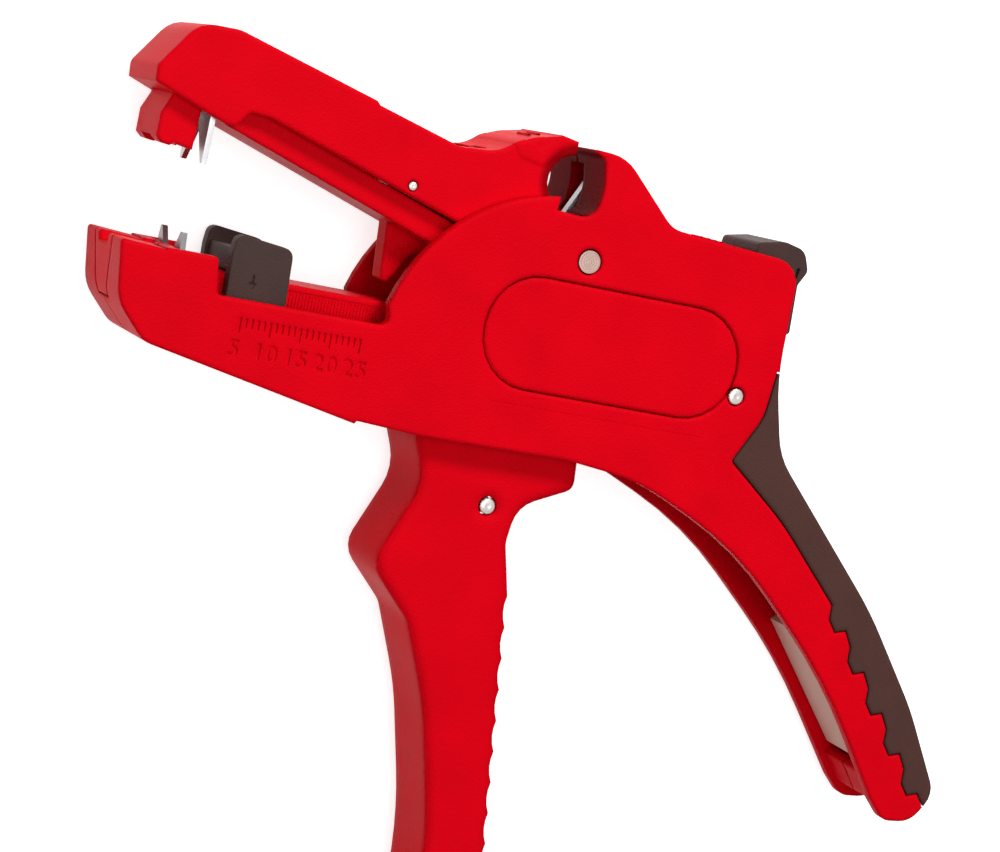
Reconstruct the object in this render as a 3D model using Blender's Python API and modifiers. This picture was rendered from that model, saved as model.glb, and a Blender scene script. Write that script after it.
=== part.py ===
# Automatic wire stripper, lying on its side, in metres with +Z up.
# The jaws point along -X and the two grips hang towards -Y. The back cheek rests on z = 0.
# The origin is on that rest face, under the middle of the oval side panel.
# Every size below is in millimetres and is turned into metres where a solid is made.
import math

import bmesh
import bpy
from mathutils import Matrix, Vector

MM = 0.001
OVER = 5.0                   # how far a cutter runs past what it cuts

# Fits
GAP = 0.3                    # running gap between two pieces that touch
BODY_T = 24.0                # thickness of the closed housing
WALL = 2.2                   # housing wall
RIM = 1.8                    # rounding of the housing's outer rim
MID = BODY_T / 2             # the parting plane of the two housing halves
INNER = MID - WALL           # half the room between the two cheeks
WELD = 0.000002              # welding distance of an outline, in metres

# Main pivot, with the upper arm and the hand lever on one pin
PIVOT = (-7.4, 13.2)
PIN_R = 1.9
PULL = 4.8                   # travel of the two blade slides
TILT = -17.6                 # slope of the upper slide, in degrees

# Lower jaw, seen from the front cheek
JAW_FRONT = -84.4
JAW_TOP = 2.6
SHELF_Y = -3.2               # low stretch of the jaw walls, under the length stop
SHELF_X = -67.9              # where the jaw walls step down to it
JAW_END = -74.6              # inner end of the jaw's channel
CHEEK = (-10.5, -7.5)        # centre of the round front edge of the cheeks
CHEEK_R = 30.4
CHEEK_FROM = 98.0            # the arc's two ends, in degrees
CHEEK_TO = 165.0

# Side view of the housing, as corners (x, y, radius)
JAW_FLOOR = [(JAW_FRONT, JAW_TOP, 0.6), (-83.1, -6.8, 7.0), (-77.9, -12.3, 4.0), (-41.6, -19.4),
             (-41.2, -18.9), (-30.0, -19.6, 20.0)]
BELLY = [(-4.0, -19.5, 30.0), (10.0, -21.0, 40.0), (31.3, -30.1, 70.0), (54.6, -50.8, 110.0)]
FOOT = [(69.6, -71.0, 1.5), (72.8, -74.3, 3.0), (78.6, -74.0, 4.6), (82.2, -68.4, 4.2)]
REAR = [(72.9, -53.4, 60.0), (60.0, -37.2, 80.0), (34.9, -12.8, 14.0), (31.1, 0.0, 40.0)]
TOP = [(30.6, 19.8, 4.5), (6.0, 21.2, 5.0), (-4.8, 31.1, 7.5)]
NOTCH = [(-11.6, 31.3, 0.6), (-8.3, 30.1, 1.6), (-7.4, 25.6, 8.0), (-7.9, 20.0, 3.0), (-14.6, 20.4, 2.0)]
SHELF = [(-38.9, SHELF_Y, 1.6), (SHELF_X, SHELF_Y, 0.9), (SHELF_X - 0.9, JAW_TOP, 0.6)]

# Room inside the housing, open at the jaw top, the throat, the lever and the handle
ROOM_FLOOR = [(JAW_END, JAW_TOP + 30.0), (JAW_END, -11.0, 1.0), (-33.0, -18.5), (-33.0, -30.0)]
ROOM_GRIP = [(12.0, -35.0), (34.0, -42.0), (55.0, -62.0), (64.0, -80.0), (77.4, -80.0),
             (77.7, -73.0, 1.0), (76.8, -71.2, 1.0)]
END_RIB = [(71.2, -71.4), (67.6, -66.6), (69.0, -65.6)]
ROOM_REAR = [(77.6, -65.6, 1.0), (57.2, -36.2, 80.0), (32.1, -12.5, 12.0)]
ROOM_CUTTER = [(5.8, 20.8 - WALL, 4.0), (0.6, 24.2, 1.0), (-3.0, 24.2), (-3.0, 19.8), (-9.0, 19.8),
               (-9.0, 26.0), (-13.5, 26.0), (-13.5, 40.0)]

# Handle
TAPER_FROM = (22.0, -18.0)   # the cheeks start to thin here, down the handle
TAPER_DIR = (0.66, -0.75)
TAPER = 0.04                 # thinning of each cheek per millimetre of handle
TAPER_CORE = 4.0             # what lies closer to the parting plane keeps its height

# Grip cover of soft plastic
SKIN = 1.5
TOOTH_COUNT = 5
TOOTH_START = (52.1, -36.8)
TOOTH_STEP = (5.68, -6.9)
TOOTH = [(0.0, 0.0), (0.2, -2.7), (1.8, -4.7), (3.9, -4.1)]
COVER_EDGE = [(31.0, 1.0), (30.3, -7.0, 10.0), (26.2, -14.9, 0.5), (38.6, -23.9, 60.0)]
COVER_OUTER = [(81.2, -71.6), (90.0, -74.0), (90.0, -50.0), (40.0, 1.0)]

# Side panel
PANEL_LONG = 23.0            # half length
PANEL_HIGH = 9.2             # half height
PANEL_T = 1.0

# Rivets and pins
RIVET = (PANEL_LONG + 1.1, -4.1)
RIVET_R = 1.35
LEVER_PIN = (-14.5, -29.6)
LEVER_PIN_R = 1.35
ARM_PIN = (-39.1, 19.4)
ARM_PIN_R = 0.75
PRESS = 0.15                 # room round a small pin

# Upper arm
ARM_HALF = INNER - 0.4
ARM_WALL = 2.1
ARM_RIM = 1.4
ARM_IN = ARM_HALF - ARM_WALL
ARM_CHANNEL_END = -24.2
ARM_TOP = [(-20.5, 31.9, 7.0), (-25.6, 27.7, 7.0), (-32.5, 27.1, 5.0), (-47.0, 30.8), (-47.6, 31.4),
           (-71.6, 37.5, 6.0), (-78.1, 37.3, 5.0), (-83.4, 29.6, 1.4), (-83.2, 27.1)]
ARM_LOW = [(-71.0, 22.8, 0.5), (-69.4, 22.8, 0.8), (-67.6, 25.4, 1.0), (-64.0, 25.15), (-31.0, 15.4),
           (-20.5, 11.8, 2.0), (-15.2, 11.4, 1.0), (-13.4, 19.8, 1.0)]
ARM_CREST = [(-12.4, 31.9), (-15.5, 32.4)]
ARM_ROOM = [(-79.9, 24.0), (-71.0, 15.0), (-45.0, 10.0), (-22.0, 5.0), (ARM_CHANNEL_END, 11.0),
            (ARM_CHANNEL_END, 19.8, 1.5), (-31.0, 23.6, 3.0), (-47.0, 28.1, 3.0), (-70.8, 34.8, 3.0),
            (-76.9, 35.0, 2.5), (-79.9, 29.4, 2.0)]
LUG_R = 6.0                  # eye of the arm round the main pin
LUG_NECK = [(-12.0, 19.6), (-17.0, 21.5), (-22.0, 20.0), (-21.0, 12.4)]
CLAMP_JAW = [(-80.9, 18.9), (-80.0, 18.1), (-78.6, 17.9), (-78.2, 18.4), (-75.0, 17.9), (-74.6, 27.5),
             (-79.6, 27.5), (-79.7, 25.4), (-80.9, 22.6)]
CLAMP_NOTCH = [(-3.6, 15.0), (3.6, 15.0), (2.8, 19.0), (-2.8, 19.0)]
SLOT_HALF = 2.6              # centre slot of the arm, for the cutter blades
SLOT_R = 15.6

# Hand lever
LEVER_HALF = 8.2
LEVER_WALL = 2.2
LEVER_IN = LEVER_HALF - LEVER_WALL
LUG_HALF = LEVER_IN - GAP    # the arm's eye runs between the lever's two walls
LEVER_RIM = 3.6              # rounding of the lever's front edge
LEVER_RIM_REAR = 0.45        # share of it along the rear edge
LEVER_SPLIT = (-14.0, -30.0, -0.1)   # line between the two: x, y and its slope
HUB_R = 6.2
DRIVE_PIN = (-16.0, -6.0)
DRIVE_PIN_R = 1.4
LEVER_FRONT = [(-24.0, -10.0, 8.0), (-29.6, -19.4, 4.0), (-26.1, -27.6, 9.0), (-32.2, -42.1, 4.6),
               (-24.0, -50.5, 5.0), (-18.0, -64.6, 60.0), (-12.6, -86.0, 80.0), (-11.4, -103.0, 4.0)]
LEVER_FOOT = [(0.0, -103.6, 4.0)]
LEVER_EAR = [(-9.9, -35.2, 5.0), (-9.2, -28.9, 7.0), (0.1, -24.6, 1.9), (-0.4, -19.0, 2.5),
             (-1.2, -8.0, 10.0)]
LEVER_ROOM = [(-60.0, 30.0), (-60.0, -17.6), (-25.9, -17.6), (-25.2, -22.0, 2.0), (-23.2, -28.8, 6.0),
              (-27.0, -39.8, 2.0), (-26.0, -42.6, 2.0), (-20.8, -47.6, 4.0), (-14.6, -64.0, 30.0),
              (-9.8, -86.0, 30.0), (-8.6, -100.4, 1.5), (-3.8, -100.8), (20.0, -100.8), (20.0, 30.0)]
SCALLOP_END = (-7.55, -44.0)
SCALLOP_COUNT = 9
SCALLOP_STEP = (0.7, -5.3)
SCALLOP_DEEP = 0.5

# Blades
BLADE_T = 0.9
UPPER_BLADE_X = -73.1        # front face
UPPER_BLADE_TOP = 26.0
UPPER_BLADE_TIP = 16.1
LOWER_BLADE_X = -73.9
LOWER_BLADE_TIP = 5.1
LOWER_BLADE_FOOT = -9.0
PRONG = 6.8                  # half distance between the two points of a blade
PRONG_W = 1.0
PRONG_H = 9.0                # from a point to where the strip is full width
PRONG_DEEP = 6.2             # depth of the V between the points
PRONG_GAP = 0.4
LOWER_BLADE_HALF = 8.8

# Slides, rail and length stop
LINK_T = 1.2
LINK_PIN = (-35.4, -7.4)
LINK_PIN_R = 1.0
LINK_LOW = LEVER_IN - 0.2 - LINK_T   # inner face of a link, over the parting plane
LINK_BAR = [(-37.4, -9.6, 2.0), (-22.0, -9.6), (-18.4, -11.0, 1.0), (-5.6, -11.0, 3.5), (-5.6, -2.4, 3.5),
            (-18.4, -2.4, 1.0), (-22.0, -5.2), (-37.4, -5.2, 2.0)]
LINK_SLOT = [(-17.8, -9.6, 2.2), (-7.6, -9.6, 2.2), (-7.6, -4.1, 2.2), (-17.8, -4.1, 2.2)]
UPPER_SLIDE_AT = (-66.5, 21.5)   # a point of the upper slide's lower edge
UPPER_SLIDE_H = 4.8
UPPER_SLIDE_STEP = (-64.0, -65.0, 28.5)   # where the slide grows up to the blade, and its top there
WEB_HALF = 2.2
WEB_FROM = -39.6
WEB_TO = -31.4
WEB = [(-39.2, 8.4), (-38.8, 3.6), (-37.7, 3.2), (-34.8, 8.0), (-32.4, 9.4)]
RAIL_TOP = 0.2
RAIL_FRONT = -68.0
RAIL_REAR = -38.0
RAIL_WALL = 2.0
SLIDE_HALF = LINK_LOW - GAP
RAIL_HALF = SLIDE_HALF + GAP + RAIL_WALL
SLIDE_REAR = (-33.2, -5.2)
SLIDE_STEP = -43.0
SLIDE_FLOOR = -9.8
STOP_X = -66.0
STOP_LONG = 10.3
STOP_TOP = 6.7
STOP_FOOT = -6.6
STOP_BRIDGE = 1.6            # top of the bridge between the two wings
STOP_FACE = (3.0, 4.2)       # the face that the wire's end meets: its rear and its top
CLAMP_FOOT = -7.0            # lower end of the front insert
CLAMP_WIDE = 7.4
CLAMP_NARROW = 3.2
CLAMP_MOUTH = [(-3.8, 2.0), (-3.0, -1.5), (3.0, -1.5), (3.8, 2.0)]

# Cutter at the top
HOLE = (-11.9, 25.1)         # centre of the cutting hole
HOLE_R = 4.6
CUTTER_T = 1.8
CUTTER_R = 14.8
CUTTER_HUB = 5.2
CUTTER_PIN = (2.6, 18.4)
CUTTER_PIN_R = 1.3
CUTTER_APART = 0.2           # each blade lies this far from the parting plane
CUTTER_TAIL = [(-13.6, -7.6), (-11.0, -9.6), (-9.0, -8.4)]
CUTTER_FOOT = [(2.2, -1.6), (0.6, 2.2)]
CUTTER_ROOM = 0.8

# Force setting at the rear corner
DIAL = (24.0, 11.5)
DIAL_HALF = 7.0
DIAL_PIN_R = 1.6
DIAL_SLOT = ((17.5, 6.6), (40.0, 26.0))
DIAL_HUB_R = 4.4
DIAL_OUTLINE = [(24.6, 20.4, 0.4), (24.8, 22.0, 0.8), (29.6, 23.0, 3.0), (33.6, 22.2, 2.4), (35.0, 18.8, 1.4),
                (33.6, 16.2, 1.0), (34.1, 7.4, 0.8), (31.8, 7.6, 0.4), (30.4, 15.0, 2.0), (26.6, 14.6, 1.0)]
BLOCK = ((8.4, 6.0), (10.4, 14.6))
PLUNGER = ((17.2, 7.6), (19.2, 15.4))
PLUNGER_HALF = 5.0
PRESSURE_COIL = (2.4, 0.5, 3.5)      # radius, wire radius and turns
PRESSURE_Y = 10.8

# Return spring, from a post in the housing to a pin of the lever
SPRING_POST = (-47.6, -13.0)
SPRING_PIN = (-25.6, -13.0)
SPRING_PIN_R = 1.2
RETURN_COIL = (1.5, 0.35, 9)

# Handle plate
PLATE_FROM = (50.9, -43.8)
PLATE_TO = (67.5, -64.6)
PLATE_T = 1.4

# Finishes: colour, roughness and metallic value
RED = ((0.745, 0.003, 0.012), 0.42, 0.0)
INNER_RED = ((0.62, 0.004, 0.012), 0.45, 0.0)
SOFT = ((0.085, 0.036, 0.030), 0.65, 0.0)
DARK = ((0.062, 0.036, 0.032), 0.50, 0.0)
STEEL = ((0.62, 0.60, 0.58), 0.3, 1.0)
BLADE = ((0.72, 0.73, 0.74), 0.3, 1.0)
PALE = ((0.72, 0.42, 0.34), 0.5, 0.0)


# Scene and collections

def clear_scene():
    for obj in list(bpy.data.objects):
        bpy.data.objects.remove(obj)
    for mesh in list(bpy.data.meshes):
        bpy.data.meshes.remove(mesh)


def new_collection(name):
    collection = bpy.data.collections.new(name)
    bpy.context.scene.collection.children.link(collection)
    return collection


def make_material(name, look):
    colour, roughness, metallic = look
    material = bpy.data.materials.new(name)
    material.use_nodes = True
    shader = material.node_tree.nodes["Principled BSDF"]
    shader.inputs["Base Color"].default_value = (*colour, 1.0)
    shader.inputs["Roughness"].default_value = roughness
    shader.inputs["Metallic"].default_value = metallic
    material.diffuse_color = (*colour, 1.0)
    return material


# Outlines, as lists of points in millimetres

def arc(centre, radius, start, end, steps):
    """Points on an arc, angles in degrees."""
    points = []
    for step in range(steps + 1):
        angle = math.radians(start + (end - start) * step / steps)
        points.append((centre[0] + radius * math.cos(angle), centre[1] + radius * math.sin(angle)))
    return points


def rounded(corners, steps=4):
    """A closed outline whose corners (x, y, radius) are rounded by arcs."""
    points = []
    count = len(corners)
    for index, corner in enumerate(corners):
        if len(corner) == 2 or corner[2] <= 0.0:
            points.append((corner[0], corner[1]))
            continue
        here = Vector(corner[:2])
        before = Vector(corners[index - 1][:2]) - here
        after = Vector(corners[(index + 1) % count][:2]) - here
        turn = math.pi - before.angle(after)
        reach = corner[2] * math.tan(turn / 2)
        limit = 0.48 * min(before.length, after.length)
        reach = min(reach, limit)
        radius = reach / math.tan(turn / 2)
        start = here + before.normalized() * reach
        end = here + after.normalized() * reach
        middle = (before.normalized() + after.normalized()).normalized()
        centre = here + middle * math.hypot(reach, radius)
        first = start - centre
        last = end - centre
        sweep = first.angle_signed(last)
        for step in range(steps + 1):
            part = first.copy()
            part.rotate(Matrix.Rotation(-sweep * step / steps, 2))
            points.append(tuple(centre + part))
    return points


def grown(points, distance):
    """An anticlockwise outline moved outwards by a distance."""
    result = []
    count = len(points)
    for index in range(count):
        here = Vector(points[index])
        before = (here - Vector(points[index - 1])).normalized()
        after = (Vector(points[(index + 1) % count]) - here).normalized()
        normal_before = Vector((before.y, -before.x))
        normal_after = Vector((after.y, -after.x))
        mitre = (normal_before + normal_after).normalized()
        stretch = min(2.0, 1.0 / max(0.3, mitre.dot(normal_before)))
        result.append(tuple(here + mitre * distance * stretch))
    return result


# Solids

def add_mesh(name, bm, collection):
    mesh = bpy.data.meshes.new(name)
    bm.to_mesh(mesh)
    bm.free()
    obj = bpy.data.objects.new(name, mesh)
    collection.objects.link(obj)
    return obj


def plate(name, points, low, high, collection):
    """A flat outline given thickness between two heights, from a filled curve."""
    curve = bpy.data.curves.new(name, "CURVE")
    curve.dimensions = "2D"
    curve.fill_mode = "BOTH"
    curve.extrude = (high - low) / 2 * MM
    spline = curve.splines.new("POLY")
    spline.points.add(len(points) - 1)
    for target, point in zip(spline.points, points):
        target.co = (point[0] * MM, point[1] * MM, 0.0, 1.0)
    spline.use_cyclic_u = True
    obj = bpy.data.objects.new(name, curve)
    obj.location = (0.0, 0.0, (high + low) / 2 * MM)
    collection.objects.link(obj)
    return from_curve(obj, collection)


def from_curve(obj, collection):
    """A curve object made a welded mesh object with its place in the mesh."""
    bpy.context.view_layer.update()
    graph = bpy.context.evaluated_depsgraph_get()
    mesh = bpy.data.meshes.new_from_object(obj.evaluated_get(graph))
    mesh.transform(obj.matrix_world)
    name = obj.name
    data = obj.data
    bpy.data.objects.remove(obj)
    bpy.data.curves.remove(data)
    bm = bmesh.new()
    bm.from_mesh(mesh)
    bpy.data.meshes.remove(mesh)
    bmesh.ops.remove_doubles(bm, verts=bm.verts, dist=WELD)
    bmesh.ops.recalc_face_normals(bm, faces=bm.faces)
    bmesh.ops.dissolve_limit(bm, angle_limit=0.002, verts=bm.verts, edges=bm.edges)
    return add_mesh(name, bm, collection)


def edit(obj, change):
    """Run a bmesh change on an object's mesh."""
    bm = bmesh.new()
    bm.from_mesh(obj.data)
    change(bm)
    bm.to_mesh(obj.data)
    bm.free()
    return obj


def round_rim(obj, faces, width, share=None):
    """Round the edges that run round a plate on its outer faces; share scales the width by place."""
    bm = bmesh.new()
    bm.from_mesh(obj.data)
    weights = bm.edges.layers.float.new("bevel_weight_edge")
    for edge in bm.edges:
        if not edge.is_manifold:
            continue
        flat = [face for face in edge.link_faces if abs(face.normal.z) > 0.9]
        side = [face for face in edge.link_faces if abs(face.normal.z) < 0.1]
        over = (edge.verts[0].co.z / MM - MID) * faces
        outer = faces == 0 or over > TAPER_CORE
        if len(flat) == 1 and len(side) == 1 and outer:
            middle = (edge.verts[0].co + edge.verts[1].co) / 2 / MM
            edge[weights] = share(middle.x, middle.y) if share else 1.0
    bm.to_mesh(obj.data)
    bm.free()
    bevel = obj.modifiers.new("Rim", "BEVEL")
    bevel.limit_method = "WEIGHT"
    bevel.offset_type = "OFFSET"
    bevel.width = width * MM
    bevel.segments = 3
    applied(obj)

    def weld(bm):
        bmesh.ops.remove_doubles(bm, verts=bm.verts, dist=WELD)
    return edit(obj, weld)


def thin_handle(obj):
    """Slope both faces towards the parting plane, down the handle."""
    direction = Vector((*TAPER_DIR, 0.0)).normalized()
    start = Vector((*TAPER_FROM, 0.0)) * MM

    def change(bm):
        geometry = bm.verts[:] + bm.edges[:] + bm.faces[:]
        bmesh.ops.bisect_plane(bm, geom=geometry, plane_co=start, plane_no=direction, dist=WELD / 4)
        for vert in bm.verts:
            along = (vert.co - start).dot(direction)
            offset = vert.co.z - MID * MM
            if along > 0.0 and abs(offset) > TAPER_CORE * MM:
                vert.co.z -= math.copysign(along * TAPER, offset)
    return edit(obj, change)


def rod(name, centre, radius, low, high, collection, sides=24):
    """A cylinder that stands along Z."""
    bpy.ops.mesh.primitive_cylinder_add(vertices=sides, radius=radius * MM, depth=(high - low) * MM,
                                        location=(centre[0] * MM, centre[1] * MM, (low + high) / 2 * MM))
    obj = bpy.context.object
    obj.name = name
    settle(obj, collection)
    return obj


def block(name, low, high, collection):
    """A box between two corners."""
    size = [(b - a) * MM for a, b in zip(low, high)]
    centre = [(a + b) / 2 * MM for a, b in zip(low, high)]
    bpy.ops.mesh.primitive_cube_add(size=1.0, location=centre)
    obj = bpy.context.object
    obj.name = name
    obj.scale = size
    settle(obj, collection)
    return obj


def settle(obj, collection):
    """Put an object's place and scale into its mesh and move it to its collection."""
    bpy.context.view_layer.update()
    obj.data.transform(obj.matrix_world)
    obj.matrix_world = Matrix.Identity(4)
    for owner in list(obj.users_collection):
        owner.objects.unlink(obj)
    collection.objects.link(obj)


def sideways(obj):
    """Turn a plate drawn as (z, y) so that its thickness lies along X."""
    def change(bm):
        for vert in bm.verts:
            z_drawn, y_drawn, thick = vert.co
            vert.co = (thick, y_drawn, z_drawn)
        bmesh.ops.reverse_faces(bm, faces=bm.faces)
    return edit(obj, change)


def applied(obj):
    """The object with its modifiers made part of its mesh."""
    bpy.context.view_layer.update()
    graph = bpy.context.evaluated_depsgraph_get()
    mesh = bpy.data.meshes.new_from_object(obj.evaluated_get(graph))
    obj.modifiers.clear()
    old = obj.data
    obj.data = mesh
    bpy.data.meshes.remove(old)
    return obj


def about_mid(points):
    """A profile drawn over the parting plane, moved to it."""
    return [(MID + z, y) for z, y in points]


def combine(obj, other, operation):
    """Boolean one object with another, applied."""
    modifier = obj.modifiers.new("Boolean", "BOOLEAN")
    modifier.operation = operation
    modifier.solver = "EXACT"
    modifier.object = other
    applied(obj)
    bpy.data.objects.remove(other)
    return obj


def cut(obj, *others):
    for other in others:
        combine(obj, other, "DIFFERENCE")
    return obj


def join(obj, *others):
    for other in others:
        combine(obj, other, "UNION")
    return obj


def duplicate(obj, name, collection):
    copy = obj.copy()
    copy.data = obj.data.copy()
    copy.name = name
    collection.objects.link(copy)
    return copy


def mirrored(obj, name, collection):
    """A copy on the other side of the parting plane."""
    copy = duplicate(obj, name, collection)
    flip = Matrix.Translation((0.0, 0.0, BODY_T * MM)) @ Matrix.Scale(-1.0, 4, (0.0, 0.0, 1.0))
    copy.data.transform(flip)
    copy.data.flip_normals()
    return copy


def finish(obj, parts, look):
    """Weld, shade and hand a solid over as a named part with its own material."""
    def change(bm):
        bmesh.ops.remove_doubles(bm, verts=bm.verts, dist=2 * WELD)
        bmesh.ops.dissolve_degenerate(bm, edges=bm.edges, dist=2 * WELD)
    edit(obj, change)
    obj.data.materials.clear()
    obj.data.materials.append(make_material(obj.name, look))
    obj.data.shade_smooth()
    obj.data.set_sharp_from_angle(angle=math.radians(35))
    for owner in list(obj.users_collection):
        owner.objects.unlink(obj)
    parts.objects.link(obj)
    return obj


def hang(parts, name, place, *nodes):
    """Parent pieces to an empty on their joint's axis, with their origins there."""
    axis = bpy.data.objects.new(name, None)
    axis.location = Vector((*place, MID)) * MM
    parts.objects.link(axis)
    for node in nodes:
        piece = bpy.data.objects[node]
        piece.data.transform(Matrix.Translation(-axis.location))
        piece.parent = axis
    return axis


# Outlines of the housing

def housing_outline():
    outline = rounded(JAW_FLOOR + BELLY + FOOT + REAR + TOP + NOTCH)
    cheek = arc(CHEEK, CHEEK_R, CHEEK_FROM, CHEEK_TO, 12)
    step = rounded([cheek[-1]] + SHELF + [JAW_FLOOR[0]])
    return outline + cheek + step[1:-1]


def cavity_outline():
    back = [(TOP[0][0] - WALL, 0.0, 30.0), (TOP[0][0] - WALL, TOP[0][1] - WALL, 2.5)]
    return rounded(ROOM_FLOOR + ROOM_GRIP + END_RIB + ROOM_REAR + back + ROOM_CUTTER)


def tooth_line():
    """The toothed edge between the red cheek and the grip cover."""
    points = []
    for tooth in range(TOOTH_COUNT):
        x = TOOTH_START[0] + tooth * TOOTH_STEP[0]
        y = TOOTH_START[1] + tooth * TOOTH_STEP[1]
        points += [(x + dx, y + dy) for dx, dy in TOOTH]
    return points


def cover_region():
    """The part of the handle that the grip cover wraps."""
    lead = rounded([COVER_OUTER[-1]] + COVER_EDGE + [TOOTH_START, REAR[1][:2]])[1:-2]
    return lead + tooth_line() + COVER_OUTER


def half_body(name, outline, collection):
    """One housing half as a full block, with its outer rim rounded and its handle thinned."""
    body = plate(name, outline, MID + GAP / 2, BODY_T, collection)
    thin_handle(body)
    return round_rim(body, 1, RIM)


def through(points, collection, low=-OVER, high=BODY_T + OVER):
    """A cutter that runs past both faces of the tool."""
    return plate("cutter", points, low, high, collection)


def bore(centre, radius, collection, sides=24):
    return rod("cutter", centre, radius, -OVER, BODY_T + OVER, collection, sides)


def build_housing(parts, tools):
    outline = housing_outline()
    shell = half_body("housing_front", outline, tools)
    region = cover_region()
    # The grip cover is the outer skin of the handle's rear.
    cover = half_body("grip_cover_front", outline, tools)
    combine(cover, through(region, tools), "INTERSECT")
    core = through(grown(outline, -SKIN), tools, high=BODY_T - SKIN)
    cut(cover, thin_handle(core))
    pocket = through(grown(region, GAP), tools, low=MID - OVER)
    inner_core = through(grown(outline, -SKIN - GAP), tools, high=BODY_T - SKIN - GAP)
    cut(pocket, thin_handle(inner_core))
    cut(shell, pocket)
    cavity = through(cavity_outline(), tools, low=MID - OVER, high=BODY_T - WALL)
    cut(shell, thin_handle(cavity))
    # The centre slot behind the cutting hole is for the blades.
    sector = [PIVOT] + arc(PIVOT, CUTTER_R + CUTTER_ROOM, 60.0, 125.0, 8)
    cut(shell, through(sector, tools, high=MID + SLOT_HALF))
    panel = stadium(PANEL_LONG + GAP, PANEL_HIGH + GAP)
    cut(shell, through(panel, tools, low=BODY_T - PANEL_T - GAP))
    cut(shell, bore(PIVOT, PIN_R + GAP, tools), bore(RIVET, RIVET_R + GAP, tools))
    low, high = DIAL_SLOT
    cut(shell, block("dial_slot", (*low, MID - OVER), (*high, MID + DIAL_HALF + GAP), tools))
    cut(shell, clamp_prism("clamp_pocket", GAP, tools))
    back = mirrored(shell, "housing_back", tools)
    cover_back = mirrored(cover, "grip_cover_back", tools)
    finish(shell, parts, RED)
    finish(back, parts, RED)
    finish(cover, parts, SOFT)
    finish(cover_back, parts, SOFT)


def stadium(half_long, half_high):
    round_end = half_high * 0.97
    corners = [(-half_long, -half_high, round_end), (half_long, -half_high, round_end),
               (half_long, half_high, round_end), (-half_long, half_high, round_end)]
    return rounded(corners, 6)


def build_panels(parts, tools):
    outline = stadium(PANEL_LONG, PANEL_HIGH)
    panel = plate("side_panel_front", outline, BODY_T - PANEL_T, BODY_T, tools)
    back = mirrored(panel, "side_panel_back", tools)
    finish(panel, parts, RED)
    finish(back, parts, RED)


def clamp_prism(name, extra, collection):
    """The tapered insert's space at the front of the lower jaw, through its thickness."""
    wide = CLAMP_WIDE + extra
    narrow = CLAMP_NARROW + extra
    profile = [(-wide, JAW_TOP + OVER), (-narrow, CLAMP_FOOT - extra), (narrow, CLAMP_FOOT - extra),
               (wide, JAW_TOP + OVER)]
    rear = JAW_END - 0.8 + extra
    return sideways(plate(name, about_mid(profile), JAW_FRONT - OVER, rear, collection))


def build_lower_clamp(parts, tools):
    clamp = clamp_prism("lower_clamp", 0.0, tools)
    jaw = plate("jaw", housing_outline(), 0.0, BODY_T, tools)
    combine(clamp, jaw, "INTERSECT")
    mouth = about_mid([(z, JAW_TOP + y) for z, y in CLAMP_MOUTH])
    cut(clamp, sideways(plate("mouth", mouth, JAW_FRONT - OVER, JAW_END + OVER, tools)))
    finish(clamp, parts, RED)


# Upper arm and what it carries

def build_arm(parts, tools):
    hole_edge = arc(HOLE, HOLE_R, 250.0, 96.0, 10)
    outline = rounded(ARM_TOP + ARM_LOW) + hole_edge + ARM_CREST
    arm = plate("upper_arm", outline, MID - ARM_HALF, MID + ARM_HALF, tools)
    round_rim(arm, 0, ARM_RIM)
    cut(arm, through(rounded(ARM_ROOM, 3), tools, low=MID - ARM_IN, high=MID + ARM_IN))
    lug = arc(PIVOT, LUG_R, -115.0, 85.0, 12) + LUG_NECK
    join(arm, plate("lug", lug, MID - LUG_HALF, MID + LUG_HALF, tools))
    cut(arm, rod("slot", PIVOT, SLOT_R, MID - SLOT_HALF, MID + SLOT_HALF, tools, 48))
    cut(arm, bore(PIVOT, PIN_R + GAP, tools), bore(ARM_PIN, ARM_PIN_R + PRESS, tools, 16))
    finish(arm, parts, RED)


def build_clamp_jaw(parts, tools):
    half = ARM_IN - GAP
    jaw = plate("clamp_jaw", CLAMP_JAW, MID - half, MID + half, tools)
    front, rear = CLAMP_JAW[0][0] - OVER, CLAMP_JAW[4][0] + OVER
    cut(jaw, sideways(plate("notch", about_mid(CLAMP_NOTCH), front, rear, tools)))
    finish(jaw, parts, INNER_RED)


def upper_edge(x):
    """Height of the upper slide's lower edge."""
    return UPPER_SLIDE_AT[1] + (x - UPPER_SLIDE_AT[0]) * math.tan(math.radians(TILT))


def build_upper_slide(parts, tools):
    front = UPPER_BLADE_X + BLADE_T + GAP
    rear = ARM_CHANNEL_END - PULL - 4 * GAP
    half = ARM_IN - GAP
    step_rear, step_front, step_top = UPPER_SLIDE_STEP
    outline = [(front, upper_edge(front)), (rear, upper_edge(rear)),
               (rear, upper_edge(rear) + UPPER_SLIDE_H), (step_rear, upper_edge(step_rear) + UPPER_SLIDE_H),
               (step_front, step_top), (front, step_top)]
    slide = plate("upper_carriage", outline, MID - half, MID + half, tools)
    web = [(WEB_FROM, upper_edge(WEB_FROM) + 1.0)] + WEB + [(WEB_TO, upper_edge(WEB_TO) + 1.0)]
    join(slide, plate("web", web, MID - WEB_HALF, MID + WEB_HALF, tools))
    finish(slide, parts, INNER_RED)


def fork(name, tip, root, top, half, front, collection):
    """A steel strip with a V-shaped gap between two points."""
    step = 1 if tip < root else -1
    shoulder = tip + step * PRONG_H
    right = [(PRONG_GAP, root), (PRONG - PRONG_W, tip), (PRONG, tip), (half, shoulder), (half, top)]
    left = [(-z, y) for z, y in reversed(right)]
    return sideways(plate(name, about_mid(left + right), front, front + BLADE_T, collection))


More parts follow.
